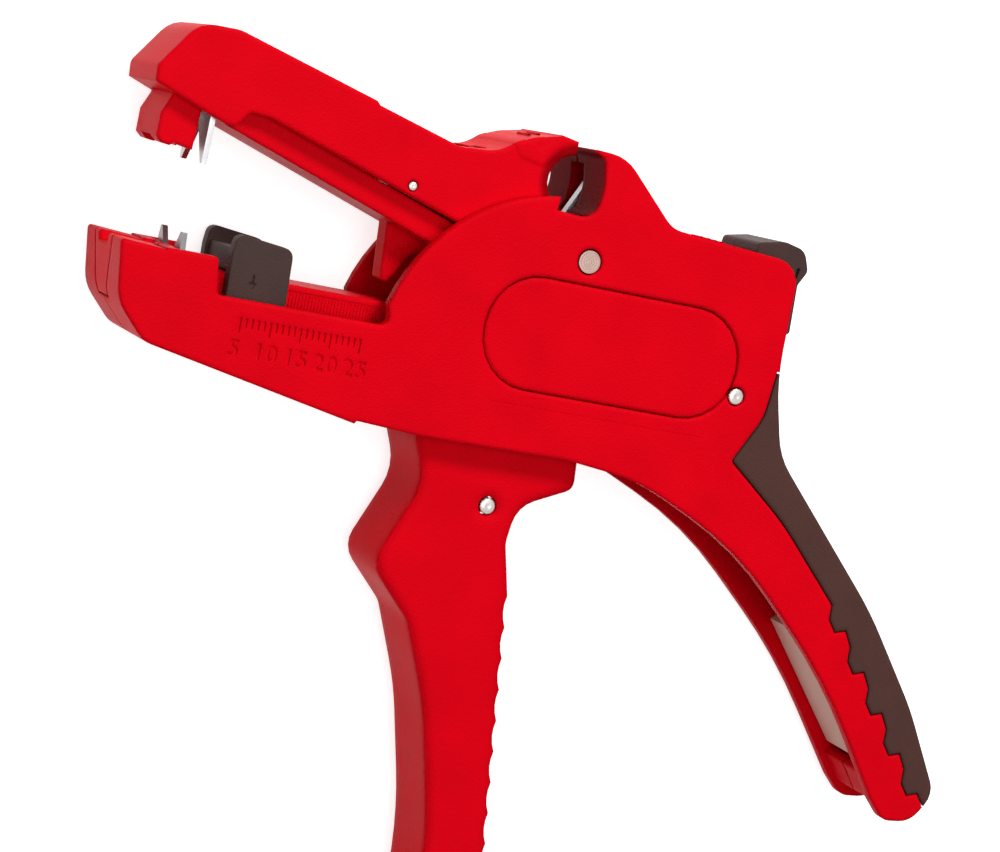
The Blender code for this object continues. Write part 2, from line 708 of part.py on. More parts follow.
def build_blades(parts, tools):
    upper = fork("upper_blade", UPPER_BLADE_TIP, UPPER_BLADE_TIP + PRONG_DEEP, UPPER_BLADE_TOP,
                 ARM_IN - GAP, UPPER_BLADE_X, tools)
    lower = fork("lower_blade", LOWER_BLADE_TIP, LOWER_BLADE_TIP - PRONG_DEEP, LOWER_BLADE_FOOT,
                 LOWER_BLADE_HALF, LOWER_BLADE_X, tools)
    finish(upper, parts, BLADE)
    finish(lower, parts, BLADE)


# Lower jaw: rail, slide, links and the length stop

def build_rail(parts, tools):
    rail = block("stop_rail", (RAIL_FRONT, SLIDE_FLOOR - 4 * GAP, MID - RAIL_HALF),
                 (RAIL_REAR, RAIL_TOP, MID + RAIL_HALF), tools)
    inside = RAIL_HALF - RAIL_WALL
    cut(rail, block("room", (RAIL_FRONT - OVER, SLIDE_FLOOR - OVER, MID - inside),
                    (RAIL_REAR + OVER, RAIL_TOP - RAIL_WALL, MID + inside), tools))
    finish(rail, parts, INNER_RED)


def build_lower_slide(parts, tools):
    front = LOWER_BLADE_X + BLADE_T + GAP
    top = RAIL_TOP - RAIL_WALL - GAP
    rear, low_top = SLIDE_REAR
    outline = [(front, SLIDE_FLOOR), (rear, SLIDE_FLOOR), (rear, low_top), (SLIDE_STEP, low_top),
               (SLIDE_STEP - 1.0, top), (front, top)]
    slide = plate("lower_carriage", outline, MID - SLIDE_HALF, MID + SLIDE_HALF, tools)
    cut(slide, bore(LINK_PIN, LINK_PIN_R + GAP, tools, 16))
    finish(slide, parts, INNER_RED)
    reach = LINK_LOW + LINK_T + GAP / 3
    finish(rod("link_pin", LINK_PIN, LINK_PIN_R, MID - reach, MID + reach, tools, 16), parts, STEEL)
    link = plate("pull_link_front", rounded(LINK_BAR), MID + LINK_LOW, MID + LINK_LOW + LINK_T, tools)
    cut(link, through(rounded(LINK_SLOT), tools), bore(LINK_PIN, LINK_PIN_R + GAP, tools, 16))
    back = mirrored(link, "pull_link_back", tools)
    finish(link, parts, BLADE)
    finish(back, parts, BLADE)


def build_stop(parts, tools):
    rear = STOP_X + STOP_LONG
    wing_in = RAIL_HALF + GAP
    wing_out = INNER - 0.4
    wing = rounded([(STOP_X + 0.4, STOP_FOOT, 0.4), (rear, STOP_FOOT, 0.4),
                    (rear - 0.6, STOP_TOP - 1.0, 1.6),
                    (STOP_X + 0.3, STOP_TOP, 1.4), (STOP_X, 3.4, 1.0)])
    stop = plate("length_stop", wing, MID + wing_in, MID + wing_out, tools)
    far = plate("far_wing", wing, MID - wing_out, MID - wing_in, tools)
    across = wing_in + 1.0
    low = RAIL_TOP + GAP
    bridge = block("bridge", (STOP_X + 0.6, low, MID - across), (rear - 0.6, STOP_BRIDGE, MID + across), tools)
    face_deep, face_top = STOP_FACE
    face = block("face", (STOP_X + 0.6, low + 0.2, MID - across),
                 (STOP_X + face_deep, face_top, MID + across), tools)
    join(bridge, face)
    join(stop, bridge, far)
    finish(stop, parts, DARK)


# Hand lever

def scallops():
    """Shallow scoops along the rear edge, from the lowest up."""
    step = -Vector(SCALLOP_STEP)
    normal = Vector((-step.y, step.x)).normalized()
    start = Vector(SCALLOP_END) - SCALLOP_COUNT * step
    points = []
    for count in range(SCALLOP_COUNT):
        for part, deep in ((0.0, 0.0), (0.25, 0.75), (0.5, 1.0), (0.75, 0.75)):
            points.append(tuple(start + step * (count + part) + normal * SCALLOP_DEEP * deep))
    points.append(SCALLOP_END)
    return points


def lever_rim_share(x, y):
    """The lever's rounding is broad along its front edge and narrow along its rear edge."""
    split_x, split_y, slope = LEVER_SPLIT
    behind = x - (split_x + (y - split_y) * slope)
    blend = min(1.0, max(0.0, behind / LEVER_RIM + 0.5))
    return 1.0 + (LEVER_RIM_REAR - 1.0) * blend


def build_lever(parts, tools):
    hub = arc(PIVOT, HUB_R, -8.0, 172.0, 10)
    scoops = scallops()
    front = rounded([hub[-1]] + LEVER_FRONT + LEVER_FOOT + [scoops[0]])[1:-1]
    rear = rounded([scoops[-1]] + LEVER_EAR + [hub[0]])[1:-1]
    lever = plate("lever_handle", hub + front + scoops + rear, MID - LEVER_HALF, MID + LEVER_HALF, tools)
    round_rim(lever, 0, LEVER_RIM, lever_rim_share)
    cut(lever, through(rounded(LEVER_ROOM, 3), tools, low=MID - LEVER_IN, high=MID + LEVER_IN))
    for centre, radius in ((PIVOT, PIN_R), (LEVER_PIN, LEVER_PIN_R), (DRIVE_PIN, DRIVE_PIN_R),
                           (SPRING_PIN, SPRING_PIN_R)):
        cut(lever, bore(centre, radius + GAP, tools))
    finish(lever, parts, RED)
    for name, centre, radius in (("lever_pin", LEVER_PIN, LEVER_PIN_R), ("drive_pin", DRIVE_PIN, DRIVE_PIN_R),
                                 ("spring_pin", SPRING_PIN, SPRING_PIN_R)):
        finish(rod(name, centre, radius, MID - LEVER_HALF, MID + LEVER_HALF, tools), parts, STEEL)


# Cutter blades

def build_cutters(parts, tools):
    low = MID + CUTTER_APART
    edge = arc(PIVOT, CUTTER_R, 69.0, 83.0, 5)
    hub = arc(PIVOT, CUTTER_HUB, 130.0, 235.0, 7)
    neck = arc(PIVOT, CUTTER_HUB, -60.0, 62.0, 7)
    moving = plate("moving_cutter", edge + hub + CUTTER_TAIL + neck, low, low + CUTTER_T, tools)
    edge = arc(PIVOT, CUTTER_R, 121.0, 140.0, 5)
    hub = arc(PIVOT, CUTTER_HUB, 175.0, 330.0, 9)
    foot = [(CUTTER_PIN[0] + x, CUTTER_PIN[1] + y) for x, y in CUTTER_FOOT]
    neck = arc(PIVOT, CUTTER_HUB, 50.0, 112.0, 4)
    high = MID - CUTTER_APART
    fixed = plate("fixed_cutter", edge + hub + foot + neck, high - CUTTER_T, high, tools)
    for blade in (moving, fixed):
        cut(blade, bore(PIVOT, PIN_R + GAP, tools))
    cut(fixed, bore(CUTTER_PIN, CUTTER_PIN_R + GAP, tools))
    finish(moving, parts, BLADE)
    finish(fixed, parts, BLADE)
    reach = INNER - GAP
    finish(rod("cutter_pin", CUTTER_PIN, CUTTER_PIN_R, MID - reach, MID + reach, tools), parts, STEEL)


# Force setting

def build_dial(parts, tools):
    outline = list(reversed(rounded(DIAL_OUTLINE)))
    dial = plate("tension_dial", outline, MID - DIAL_HALF, MID + DIAL_HALF, tools)
    join(dial, rod("hub", DIAL, DIAL_HUB_R, MID - DIAL_HALF, MID + DIAL_HALF, tools))
    cut(dial, bore(DIAL, DIAL_PIN_R + GAP, tools))
    finish(dial, parts, DARK)
    reach = INNER - GAP
    finish(rod("tension_dial_pin", DIAL, DIAL_PIN_R, MID - reach, MID + reach, tools), parts, STEEL)
    for name, corners, half in (("pressure_block", BLOCK, reach),
                                ("pressure_plunger", PLUNGER, PLUNGER_HALF)):
        low, high = corners
        finish(block(name, (*low, MID - half), (*high, MID + half), tools), parts, INNER_RED)


def coil(name, start, end, radius, wire, turns, collection):
    """A coil spring whose axis runs along X between two points."""
    curve = bpy.data.curves.new(name, "CURVE")
    curve.dimensions = "3D"
    curve.bevel_depth = wire * MM
    curve.bevel_resolution = 1
    curve.use_fill_caps = True
    steps = 10
    total = int(turns * steps)
    spline = curve.splines.new("POLY")
    spline.points.add(total)
    for index in range(total + 1):
        angle = 2 * math.pi * index / steps
        x = start[0] + wire + (end[0] - start[0] - 2 * wire) * index / total
        y = start[1] + radius * math.cos(angle)
        z = MID + radius * math.sin(angle)
        spline.points[index].co = (x * MM, y * MM, z * MM, 1.0)
    obj = bpy.data.objects.new(name, curve)
    collection.objects.link(obj)
    return from_curve(obj, collection)


def build_springs(parts, tools):
    front = (BLOCK[1][0] + GAP, PRESSURE_Y)
    rear = (PLUNGER[0][0] - GAP, PRESSURE_Y)
    finish(coil("pressure_spring", front, rear, *PRESSURE_COIL, tools), parts, STEEL)
    reach = INNER - GAP
    finish(rod("spring_post", SPRING_POST, SPRING_PIN_R, MID - reach, MID + reach, tools, 16), parts, STEEL)
    clear = SPRING_PIN_R + GAP
    front = (SPRING_POST[0] + clear, SPRING_POST[1])
    rear = (SPRING_PIN[0] - clear, SPRING_PIN[1])
    finish(coil("return_spring", front, rear, *RETURN_COIL, tools), parts, STEEL)


# Pins of the housing and the handle plate

def build_pins(parts, tools):
    finish(rod("main_pin", PIVOT, PIN_R, 0.0, BODY_T, tools, 32), parts, STEEL)
    finish(rod("rear_rivet", RIVET, RIVET_R, 0.0, BODY_T, tools), parts, STEEL)
    finish(rod("arm_pin", ARM_PIN, ARM_PIN_R, MID - ARM_HALF, MID + ARM_HALF, tools, 16), parts, STEEL)


def build_handle_plate(parts, tools):
    start = Vector(PLATE_FROM)
    along = Vector(PLATE_TO) - start
    side = Vector((-along.y, along.x)).normalized() * PLATE_T
    points = [tuple(start), tuple(start + along), tuple(start + along + side), tuple(start + side)]
    reach = INNER - GAP
    inner = plate("handle_plate", points, MID - reach, MID + reach, tools)
    finish(thin_handle(inner), parts, PALE)


def main():
    clear_scene()
    parts = new_collection("wire_stripper")
    tools = new_collection("cutters")
    build_housing(parts, tools)
    build_panels(parts, tools)
    build_lower_clamp(parts, tools)
    build_arm(parts, tools)
    build_clamp_jaw(parts, tools)
    build_upper_slide(parts, tools)
    build_blades(parts, tools)
    build_rail(parts, tools)
    build_lower_slide(parts, tools)
    build_stop(parts, tools)
    build_lever(parts, tools)
    build_cutters(parts, tools)
    build_dial(parts, tools)
    build_springs(parts, tools)
    build_pins(parts, tools)
    build_handle_plate(parts, tools)
    hang(parts, "arm_axis", PIVOT, "upper_arm", "clamp_jaw", "arm_pin")
    hang(parts, "upper_slide_axis", UPPER_SLIDE_AT, "upper_carriage", "upper_blade")
    hang(parts, "lower_slide_axis", (RAIL_FRONT, SLIDE_FLOOR), "lower_carriage", "lower_blade", "link_pin",
         "pull_link_front", "pull_link_back")
    hang(parts, "lever_axis", PIVOT, "lever_handle", "lever_pin", "drive_pin", "spring_pin", "moving_cutter")
    hang(parts, "stop_axis", (STOP_X, RAIL_TOP), "length_stop")
    hang(parts, "dial_axis", DIAL, "tension_dial")


main()
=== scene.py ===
"""Looks of the automatic wire stripper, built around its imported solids.

The tool lies on its back cheek on a pale studio floor, and the camera looks down on its
front cheek. Metres, with +Z up from the floor, the jaws along -X and the grips along -Y.
"""

import math

import bmesh
import bpy
from mathutils import Matrix, Vector


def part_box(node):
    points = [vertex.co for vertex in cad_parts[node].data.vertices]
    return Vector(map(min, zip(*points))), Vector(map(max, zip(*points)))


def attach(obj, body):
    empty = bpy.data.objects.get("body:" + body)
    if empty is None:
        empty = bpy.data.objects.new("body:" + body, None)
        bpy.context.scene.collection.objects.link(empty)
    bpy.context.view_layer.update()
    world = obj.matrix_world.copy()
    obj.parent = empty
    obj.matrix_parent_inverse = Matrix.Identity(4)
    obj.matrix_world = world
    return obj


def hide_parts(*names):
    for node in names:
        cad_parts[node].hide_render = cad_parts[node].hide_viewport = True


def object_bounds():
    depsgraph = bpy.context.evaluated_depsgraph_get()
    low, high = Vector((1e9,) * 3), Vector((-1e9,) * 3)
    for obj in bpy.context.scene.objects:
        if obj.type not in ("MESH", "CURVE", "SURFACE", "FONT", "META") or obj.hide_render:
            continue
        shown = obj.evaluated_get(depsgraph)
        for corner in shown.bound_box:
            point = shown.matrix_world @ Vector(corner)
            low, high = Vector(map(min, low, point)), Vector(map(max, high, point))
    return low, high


bl_info = {
    "name": "Automatic wire stripper",
    "version": (1, 0, 0),
    "blender": (4, 5, 0),
    "location": "View3D > Sidebar > Wire stripper",
    "description": "Finishes, small details, light and camera for the wire stripper",
    "category": "Object",
}

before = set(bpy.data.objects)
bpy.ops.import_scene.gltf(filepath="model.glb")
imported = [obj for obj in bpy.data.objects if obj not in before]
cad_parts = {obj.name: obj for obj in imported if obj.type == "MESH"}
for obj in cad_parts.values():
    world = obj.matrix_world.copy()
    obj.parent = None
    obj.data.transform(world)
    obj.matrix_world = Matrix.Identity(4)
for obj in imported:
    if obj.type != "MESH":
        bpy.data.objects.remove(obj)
CAD_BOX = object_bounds()
MM = 0.001
WELD = 0.00001                      # the frame's loose triangles are joined within this
FLAT = math.radians(0.4)            # neighbouring faces closer than this become one face
MIX_A, MIX_B, MIX_OUT = 6, 7, 2     # colour sockets of a Mix node

HOLE = (-0.0117, 0.0254, 0.0)       # middle of the cutting hole
HOLE_REACH = 0.0056                 # its walls lie within this
HOLE_SHADE_TONE = 0.42                    # painted shade: what is left of the colour on them

NUMBER_STEP = 5                     # every fifth mark is long and has a number
NUMBER_DROP = 2.6 * MM              # from the end of a long mark to the middle of its number
FIRST_SHIFT = 0.2 * MM              # the first number stands this far towards the jaw's tip

GROOVE_MIDDLE = (-0.2 * MM, -11.9 * MM)
GROOVE_LENGTH = 38.8 * MM

RAIL_LIP = 0.9 * MM                 # height of the lip along the top of the stop rail
RAIL_ENDS = 1.2 * MM                # length of the rail that has no ribs
FIRST_RIB = 0.8 * MM
RIB_DROP = 1.9 * MM                 # from the lip down to the middle of the ribs
RIB_LENGTH = 3.2 * MM

ARROW_X = -61.9 * MM                # arrow on the length stop: a shaft and a head below it
ARROW_SHAFT_Y = 0.1 * MM
ARROW_SHAFT = (0.3 * MM, 1.2 * MM)
ARROW_HEAD_Y = -0.9 * MM
ARROW_HEAD = 0.75 * MM

SLOT_MIDDLE = (32.9 * MM, 17.7 * MM)    # slot in the near face of the tension lever
SLOT_SIZE = (0.6 * MM, 2.6 * MM)
SLOT_TURN = -0.2

TOP_BARS = 4                        # bars across the top edge of the housing
TOP_BAR_X = 12.8
TOP_BAR_PITCH = 1.3
TOP_BAR_SIZE = (0.5 * MM, 0.5 * MM, 3.6 * MM)
TOP_EDGE = (14 * MM, 20.72 * MM)    # a point of the housing's top edge
TOP_SLOPE = 0.057                   # the edge falls by this towards the rear
TOP_BAR_Z = 19.4 * MM

CREST = [(-23.3, 29.4), (-20.9, 31.0), (-15.5, 32.2), (-15.3, 29.2), (-18.0, 27.0), (-22.0, 27.6)]
CREST_BEND = 0.0022                 # how far the bend of the crest reaches along its sides
CREST_FOOT = 29.3 * MM              # the crest is rounded above this and runs into the arm below it
CREST_LOW = 2.596 * MM              # a hair outside the arm's two sides
CREST_HIGH = 21.404 * MM

SIGN_Z = 14 * MM                    # signs on top of the arm stand round this height
RING_RADIUS = 1.2 * MM
RING_WIRE = 0.22 * MM
CREST_BAR_SIZE = (0.5 * MM, 0.5 * MM, 5 * MM)

LAMPS = (                           # name, place, aim and size
    ("key", (0.15, 0.6, 0.55), (0, 0, 0), 0.22),
    ("top", (-0.1, 0.05, 0.9), (0, 0, 0), 0.5),
    ("fill", (-0.7, 0.05, 0.35), (-0.03, 0, 0), 0.4),
)
FLOOR_HALF = 3.0
FLOOR_GAP = 0.0001                  # the floor lies this far under the tool
FLOOR_LIFT = 0.75                   # glow that only the camera, mirrors and glass see


# Sizes and colours that a user would change

class FinishSettings(bpy.types.PropertyGroup):
    """Colours and surface grain."""
    body_red: bpy.props.FloatVectorProperty(
        name="Body red", description="Plastic of the housing and the upper arm",
        subtype="COLOR", min=0, max=1, default=(0.8, 0.001, 0.009))
    grip_brown: bpy.props.FloatVectorProperty(
        name="Grip cover", description="Soft dark plastic over the rear of the grip",
        subtype="COLOR", min=0, max=1, default=(0.085, 0.036, 0.03))
    stop_brown: bpy.props.FloatVectorProperty(
        name="Dark plastic", description="Length stop and tension lever",
        subtype="COLOR", min=0, max=1, default=(0.062, 0.036, 0.032))
    # The pale plate's pink tint is painted light: red light bounced from the red cavity round it.
    pale: bpy.props.FloatVectorProperty(
        name="Pale plate", description="Plate inside the rear grip",
        subtype="COLOR", min=0, max=1, default=(0.72, 0.42, 0.34))
    steel: bpy.props.FloatVectorProperty(
        name="Steel", description="Pins, rivets and springs",
        subtype="COLOR", min=0, max=1, default=(0.62, 0.58, 0.55))
    main_pin: bpy.props.FloatVectorProperty(
        name="Main pin", description="Warm steel of the main pivot pin",
        subtype="COLOR", min=0, max=1, default=(0.5, 0.34, 0.29))
    blade: bpy.props.FloatVectorProperty(
        name="Blade steel", description="Stripping blades and cutters",
        subtype="COLOR", min=0, max=1, default=(0.5, 0.5, 0.51))
    grain: bpy.props.FloatProperty(
        name="Grain", description="Width of one grain of the moulded surface",
        unit="LENGTH", min=0.0001, max=0.002, default=0.0003, precision=5)
    grain_depth: bpy.props.FloatProperty(
        name="Grain depth", description="Height of the moulded grain",
        unit="LENGTH", min=0, max=0.0005, default=0.00006, precision=6)
    crease: bpy.props.FloatProperty(
        name="Crease", description="Edges sharper than this stay edges",
        unit="ROTATION", min=0.1, max=1.5, default=math.radians(34))
    body_rim: bpy.props.FloatProperty(
        name="Housing rim", description="How far round an edge of the housing shades as round",
        unit="LENGTH", min=0, max=0.004, default=0.0012, precision=4)
    arm_rim: bpy.props.FloatProperty(
        name="Arm rim", description="How far round an edge of the upper arm shades as round",
        unit="LENGTH", min=0, max=0.004, default=0.0011, precision=4)
    lever_rim: bpy.props.FloatProperty(
        name="Lever rim", description="How far round an edge of the lever shades as round",
        unit="LENGTH", min=0, max=0.005, default=0.0032, precision=4)
    edge_round: bpy.props.FloatProperty(
        name="Edge rounding", description="Radius on the edges of moulded pieces",
        unit="LENGTH", min=0, max=0.001, default=0.0003, precision=5)


class ScaleSettings(bpy.types.PropertyGroup):
    """Strip-length scale sunk in the lower jaw."""
    start: bpy.props.FloatVectorProperty(
        name="First mark", description="Top of the first mark of the scale",
        subtype="TRANSLATION", unit="LENGTH", size=2, default=(-0.0634, -0.0059))
    pitch: bpy.props.FloatProperty(
        name="Pitch", description="From one mark to the next",
        unit="LENGTH", default=0.001, precision=4)
    marks: bpy.props.IntProperty(
        name="Marks", description="How many marks the scale has", min=2, default=21)
    short_mark: bpy.props.FloatProperty(
        name="Short mark", description="Length of the marks between",
        unit="LENGTH", default=0.0015, precision=4)
    long_mark: bpy.props.FloatProperty(
        name="Long mark", description="Length of every fifth mark",
        unit="LENGTH", default=0.0024, precision=4)
    mark_width: bpy.props.FloatProperty(
        name="Mark width", description="Width of a mark",
        unit="LENGTH", default=0.0004, precision=5)
    sink: bpy.props.FloatProperty(
        name="Depth", description="How deep marks and numbers are sunk",
        unit="LENGTH", default=0.0003, precision=5)
    digit: bpy.props.FloatProperty(
        name="Number size", description="Type size of the numbers",
        unit="LENGTH", default=0.0038, precision=4)
    stroke: bpy.props.FloatProperty(
        name="Number stroke", description="Widens the strokes of the numbers on both sides",
        unit="LENGTH", default=0.00006, precision=5)


class DetailSettings(bpy.types.PropertyGroup):
    """Small marks, ribs and rivet heads."""
    rib_pitch: bpy.props.FloatProperty(
        name="Rib pitch", description="From one rib of the stop rail to the next",
        unit="LENGTH", default=0.00055, precision=5)
    rib: bpy.props.FloatProperty(
        name="Rib height", description="How far the ribs and the lip of the rail stand out",
        unit="LENGTH", default=0.00015, precision=5)
    dome: bpy.props.FloatProperty(
        name="Rivet dome", description="Height of a rivet's domed head",
        unit="LENGTH", default=0.0003, precision=5)
    dimple: bpy.props.FloatProperty(
        name="Dimple", description="Depth of the dimple in a rivet's head",
        unit="LENGTH", default=0.00025, precision=5)
    groove: bpy.props.FloatProperty(
        name="Groove", description="Width of the faint line under the side panel",
        unit="LENGTH", default=0.00014, precision=5)
    sunk: bpy.props.FloatProperty(
        name="Sunk depth", description="Depth of the small signs and of the dial's slot",
        unit="LENGTH", default=0.00025, precision=5)


class StudioSettings(bpy.types.PropertyGroup):
    """Camera, floor and light."""
    turn: bpy.props.FloatProperty(
        name="Turn", description="Camera turned to the jaw side of straight above",
        unit="ROTATION", default=math.radians(22.654))
    tilt: bpy.props.FloatProperty(
        name="Tilt", description="Camera tipped to the top side of straight above",
        unit="ROTATION", default=math.radians(5.344))
    roll: bpy.props.FloatProperty(
        name="Roll", description="Camera rolled round its own line of sight",
        unit="ROTATION", default=math.radians(12.033))
    place: bpy.props.FloatVectorProperty(
        name="Place", description="Where the camera stands",
        subtype="TRANSLATION", unit="LENGTH", default=(-0.180945, 0.024066, 0.417066))
    lens: bpy.props.FloatProperty(
        name="Lens", description="Focal length on a 36 mm wide sensor",
        unit="CAMERA", default=94.644)
    floor: bpy.props.FloatVectorProperty(
        name="Floor", description="Colour of the floor",
        subtype="COLOR", min=0, max=1, default=(0.86, 0.86, 0.86))
    sky: bpy.props.FloatProperty(
        name="Sky", description="Strength of the light from all round",
        min=0, default=0.26)
    key: bpy.props.FloatProperty(
        name="Key light", description="Power of the large lamp low over the top side",
        unit="POWER", min=0, default=4.0)
    fill: bpy.props.FloatProperty(
        name="Fill light", description="Power of the lamp on the jaw side",
        unit="POWER", min=0, default=0.2)
    top: bpy.props.FloatProperty(
        name="Top light", description="Power of the large lamp straight above",
        unit="POWER", min=0, default=2.2)


# Surfaces

def new_group(name, inputs, outputs):
    """A shader node group with float sockets, and its two end nodes."""
    tree = bpy.data.node_groups.new(name, "ShaderNodeTree")
    for label, kind in inputs:
        tree.interface.new_socket(label, in_out="INPUT", socket_type=kind)
    for label, kind in outputs:
        tree.interface.new_socket(label, in_out="OUTPUT", socket_type=kind)
    return tree, tree.nodes.new("NodeGroupInput"), tree.nodes.new("NodeGroupOutput")


def moulded_grain():
    """Satin grain of moulded plastic: a height, and a slow mottle from 0 to 1."""
    found = bpy.data.node_groups.get("moulded grain")
    if found:
        return found
    tree, start, end = new_group(
        "moulded grain",
        [("Vector", "NodeSocketVector"), ("Fineness", "NodeSocketFloat")],
        [("Height", "NodeSocketFloat"), ("Mottle", "NodeSocketFloat")])
    link = tree.links.new
    pits = tree.nodes.new("ShaderNodeTexVoronoi")
    pits.feature = "SMOOTH_F1"
    link(start.outputs["Vector"], pits.inputs["Vector"])
    link(start.outputs["Fineness"], pits.inputs["Scale"])
    fine = tree.nodes.new("ShaderNodeTexNoise")
    fine.inputs["Detail"].default_value = 3.0
    link(start.outputs["Vector"], fine.inputs["Vector"])
    link(start.outputs["Fineness"], fine.inputs["Scale"])
    both = tree.nodes.new("ShaderNodeMath")
    both.operation = "ADD"
    link(pits.outputs["Distance"], both.inputs[0])
    link(fine.outputs["Fac"], both.inputs[1])
    link(both.outputs[0], end.inputs["Height"])
    slow = tree.nodes.new("ShaderNodeTexNoise")
    slow.inputs["Scale"].default_value = 90.0
    slow.inputs["Detail"].default_value = 5.0
    link(start.outputs["Vector"], slow.inputs["Vector"])
    link(slow.outputs["Fac"], end.inputs["Mottle"])
    return tree


def drawn_lines():
    """Fine lines left by grinding: a height and a tone, both along the stretched axis."""
    found = bpy.data.node_groups.get("drawn lines")
    if found:
        return found
    tree, start, end = new_group(
        "drawn lines",
        [("Vector", "NodeSocketVector"), ("Stretch", "NodeSocketVector")],
        [("Height", "NodeSocketFloat"), ("Tone", "NodeSocketFloat")])
    link = tree.links.new
    squeeze = tree.nodes.new("ShaderNodeVectorMath")
    squeeze.operation = "MULTIPLY"
    link(start.outputs["Vector"], squeeze.inputs[0])
    link(start.outputs["Stretch"], squeeze.inputs[1])
    lines = tree.nodes.new("ShaderNodeTexNoise")
    lines.inputs["Scale"].default_value = 1.0
    lines.inputs["Detail"].default_value = 4.0
    link(squeeze.outputs[0], lines.inputs["Vector"])
    link(lines.outputs["Fac"], end.inputs["Height"])
    shade_tone = tree.nodes.new("ShaderNodeTexNoise")
    shade_tone.inputs["Scale"].default_value = 140.0
    link(start.outputs["Vector"], shade_tone.inputs["Vector"])
    link(shade_tone.outputs["Fac"], end.inputs["Tone"])
    return tree


def hole_shade():
    """A painted shade: a tone that falls to a shadow inside the cutting hole."""
    found = bpy.data.node_groups.get("hole shade")
    if found:
        return found
    tree, start, end = new_group(
        "hole shade", [("Vector", "NodeSocketVector")], [("Tone", "NodeSocketFloat")])
    link = tree.links.new
    apart = tree.nodes.new("ShaderNodeSeparateXYZ")
    link(start.outputs["Vector"], apart.inputs["Vector"])
    level = tree.nodes.new("ShaderNodeCombineXYZ")
    link(apart.outputs["X"], level.inputs["X"])
    link(apart.outputs["Y"], level.inputs["Y"])
    far = tree.nodes.new("ShaderNodeVectorMath")
    far.operation = "DISTANCE"
    link(level.outputs["Vector"], far.inputs[0])
    far.inputs[1].default_value = HOLE
    edge = tree.nodes.new("ShaderNodeMapRange")
    edge.inputs["From Min"].default_value = HOLE_REACH
    edge.inputs["From Max"].default_value = HOLE_REACH * 1.2
    edge.inputs["To Min"].default_value = HOLE_SHADE_TONE
    link(far.outputs["Value"], edge.inputs["Value"])
    front = tree.nodes.new("ShaderNodeMapRange")
    front.inputs["From Min"].default_value = CAD_BOX[1].z - 1.2 * MM
    front.inputs["From Max"].default_value = CAD_BOX[1].z - 0.3 * MM
    link(apart.outputs["Z"], front.inputs["Value"])
    most = tree.nodes.new("ShaderNodeMath")
    most.operation = "MAXIMUM"
    link(edge.outputs["Result"], most.inputs[0])
    link(front.outputs["Result"], most.inputs[1])
    link(most.outputs[0], end.inputs["Tone"])
    return tree


def blank_material(name):
    """A material with its shader and Object coordinates."""
    material = bpy.data.materials.new(name)
    material.use_nodes = True
    tree = material.node_tree
    shader = tree.nodes["Principled BSDF"]
    place = tree.nodes.new("ShaderNodeTexCoord")
    return material, tree, shader, place


def two_tones(tree, factor, low, high, socket):
    """Blends two colours by a factor between 0.3 and 0.7 into a socket."""
    ramp = tree.nodes.new("ShaderNodeValToRGB")
    ramp.color_ramp.elements[0].position = 0.3
    ramp.color_ramp.elements[0].color = (*low, 1)
    ramp.color_ramp.elements[1].position = 0.7
    ramp.color_ramp.elements[1].color = (*high, 1)
    tree.links.new(factor, ramp.inputs["Fac"])
    tree.links.new(ramp.outputs["Color"], socket)


def between(tree, factor, low, high, socket):
    """Maps a factor from 0.3..0.7 to low..high into a socket."""
    spread = tree.nodes.new("ShaderNodeMapRange")
    spread.inputs["From Min"].default_value = 0.3
    spread.inputs["From Max"].default_value = 0.7
    spread.inputs["To Min"].default_value = low
    spread.inputs["To Max"].default_value = high
    tree.links.new(factor, spread.inputs["Value"])
    tree.links.new(spread.outputs["Result"], socket)


def raised(tree, height, depth, socket, rim=0.0):
    """Feeds a height through a bump into a Normal socket, over edges that shade as round."""
    bump = tree.nodes.new("ShaderNodeBump")
    bump.inputs["Strength"].default_value = 1.0
    bump.inputs["Distance"].default_value = depth
    tree.links.new(height, bump.inputs["Height"])
    if rim > 0:
        edge = tree.nodes.new("ShaderNodeBevel")
        edge.samples = 8
        edge.inputs["Radius"].default_value = rim
        tree.links.new(edge.outputs["Normal"], bump.inputs["Normal"])
    tree.links.new(bump.outputs["Normal"], socket)


def shade(colour, factor):
    """A colour made darker or paler."""
    return tuple(min(1.0, c * factor) for c in colour)


def plastic(name, colour, rough, grain, depth, spread=0.05, specular=0.5, rim=0.0):
    """Moulded plastic with a satin grain and a slight mottle."""
    found = bpy.data.materials.get(name)
    if found:
        return found
    material, tree, shader, place = blank_material(name)
    group = tree.nodes.new("ShaderNodeGroup")
    group.node_tree = moulded_grain()
    group.inputs["Fineness"].default_value = 1 / grain
    tree.links.new(place.outputs["Object"], group.inputs["Vector"])
    mottle = group.outputs["Mottle"]
    two_tones(tree, mottle, shade(colour, 1 - spread), shade(colour, 1 + spread),
              shader.inputs["Base Color"])
    between(tree, mottle, rough - 0.04, rough + 0.04, shader.inputs["Roughness"])
    raised(tree, group.outputs["Height"], depth, shader.inputs["Normal"], rim)
    shader.inputs["Specular IOR Level"].default_value = specular
    return material


def ground_steel(name, colour, rough, stretch, depth=0.00002):
    """Steel with fine lines left by grinding or drawing."""
    found = bpy.data.materials.get(name)
    if found:
        return found
    material, tree, shader, place = blank_material(name)
    group = tree.nodes.new("ShaderNodeGroup")
    group.node_tree = drawn_lines()
    group.inputs["Stretch"].default_value = stretch
    tree.links.new(place.outputs["Object"], group.inputs["Vector"])
    two_tones(tree, group.outputs["Tone"], shade(colour, 0.86), shade(colour, 1.08),
              shader.inputs["Base Color"])
    between(tree, group.outputs["Tone"], rough + 0.06, rough - 0.05,
            shader.inputs["Roughness"])
    raised(tree, group.outputs["Height"], depth, shader.inputs["Normal"])
    shader.inputs["Metallic"].default_value = 1.0
    return material


